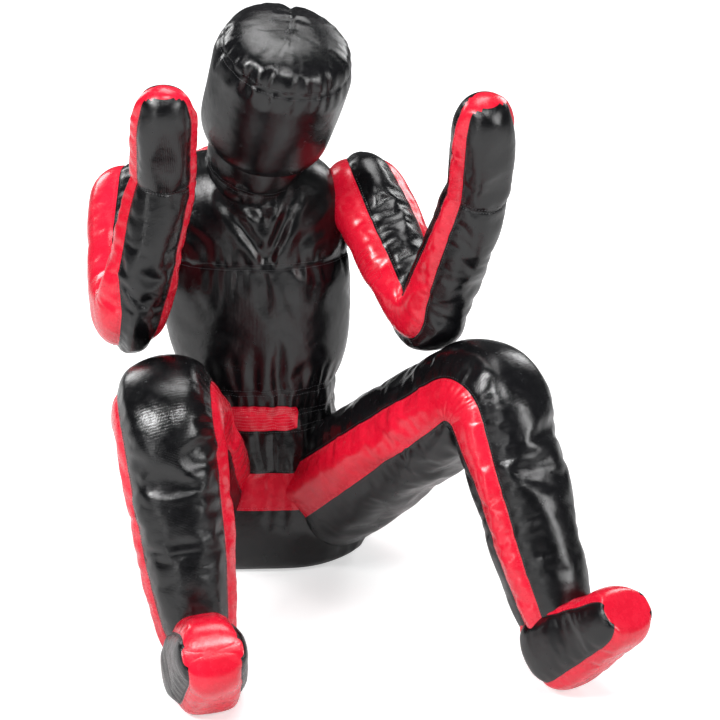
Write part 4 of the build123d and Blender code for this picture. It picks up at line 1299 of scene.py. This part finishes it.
# --------------------------------------------------------- studio and camera
sc = bpy.context.scene
cam_data = bpy.data.cameras.new("camera")
cam_data.lens = 102.9
cam_data.sensor_width = 36.0
cam_data.clip_end = 60
cam = bpy.data.objects.new("camera", cam_data)
bpy.context.collection.objects.link(cam)
eye, target = Vector((0.1523, -2.9597, 1.4882)), Vector((0.1523, 0.0, 0.3198))
cam.location = eye
cam.rotation_euler = (target - eye).to_track_quat("-Z", "Y").to_euler()
sc.camera = cam

floor_mesh = bpy.data.meshes.new("floor")
floor_mesh.from_pydata([(-14, -14, -0.0006), (14, -14, -0.0006), (14, 14, -0.0006), (-14, 14, -0.0006)], [], [(0, 1, 2, 3)])
floor = bpy.data.objects.new("floor", floor_mesh)
bpy.context.collection.objects.link(floor)
fm, nt, b = material("floor")
b.inputs["Base Color"].default_value = (0.8, 0.8, 0.8, 1)
b.inputs["Emission Color"].default_value = (1, 1, 1, 1)
# the sweep brightens away from the object, so it runs out to white
fc = nt.nodes.new("ShaderNodeTexCoord")
fl = nt.nodes.new("ShaderNodeVectorMath"); fl.operation = "LENGTH"
nt.links.new(fc.outputs["Object"], fl.inputs[0])
fr = nt.nodes.new("ShaderNodeMapRange")
fr.inputs["From Min"].default_value = 0.6; fr.inputs["From Max"].default_value = 2.0
fr.inputs["To Min"].default_value = 0.55; fr.inputs["To Max"].default_value = 1.05
nt.links.new(fl.outputs["Value"], fr.inputs["Value"])
# the glow is for the lens only: it must not fill the black film with grey
flp = nt.nodes.new("ShaderNodeLightPath")
fg = nt.nodes.new("ShaderNodeMapRange")
fg.inputs["To Min"].default_value = 0.12; fg.inputs["To Max"].default_value = 1.0
nt.links.new(flp.outputs["Is Camera Ray"], fg.inputs["Value"])
fmul = nt.nodes.new("ShaderNodeMath"); fmul.operation = "MULTIPLY"
nt.links.new(fr.outputs["Result"], fmul.inputs[0]); nt.links.new(fg.outputs["Result"], fmul.inputs[1])
nt.links.new(fmul.outputs[0], b.inputs["Emission Strength"])
b.inputs["Roughness"].default_value = 0.9
b.inputs["Specular IOR Level"].default_value = 0.1
floor_mesh.materials.append(fm)

world = bpy.data.worlds.new("studio")
sc.world = world
world.use_nodes = True
nt = world.node_tree
nt.nodes.clear()
wo = nt.nodes.new("ShaderNodeOutputWorld")
lp = nt.nodes.new("ShaderNodeLightPath")
bg_cam = nt.nodes.new("ShaderNodeBackground"); bg_cam.inputs[0].default_value = (1, 1, 1, 1); bg_cam.inputs[1].default_value = 1.0
bg = nt.nodes.new("ShaderNodeBackground"); bg.inputs[0].default_value = (0.95, 0.97, 1.0, 1); bg.inputs[1].default_value = 0.10
mx = nt.nodes.new("ShaderNodeMixShader")
nt.links.new(lp.outputs["Is Camera Ray"], mx.inputs[0]); nt.links.new(bg.outputs[0], mx.inputs[1]); nt.links.new(bg_cam.outputs[0], mx.inputs[2])
nt.links.new(mx.outputs[0], wo.inputs[0])


def softbox(name, place, aim, w, h, power, colour=(1, 1, 1)):
    d = bpy.data.lights.new(name, "AREA")
    d.shape = "RECTANGLE"; d.size = w; d.size_y = h; d.energy = power; d.color = colour
    o = bpy.data.objects.new(name, d)
    o.location = place
    o.rotation_euler = (Vector(aim) - Vector(place)).to_track_quat("-Z", "Y").to_euler()
    bpy.context.collection.objects.link(o)


softbox("key", (-1.7, -2.3, 2.7), (0.1, -0.2, 0.4), 1.0, 0.8, 92)
softbox("fill", (2.5, -1.9, 1.6), (0.1, -0.2, 0.4), 0.7, 1.4, 38)
softbox("top", (0.2, 0.3, 3.0), (0.1, -0.2, 0.4), 1.4, 1.4, 40)
softbox("rim", (-1.8, 1.9, 1.8), (0.1, -0.1, 0.4), 0.8, 1.6, 26)
softbox("strip_left", (-1.5, -2.7, 0.9), (0.1, -0.2, 0.4), 0.22, 1.3, 8)
softbox("strip_over", (0.6, -1.9, 2.7), (0.1, -0.2, 0.4), 0.7, 0.25, 22)
softbox("back_fill", (2.0, 2.4, 1.9), (0.1, 0.0, 0.4), 0.9, 1.4, 26)
sc.view_settings.view_transform = "Standard"
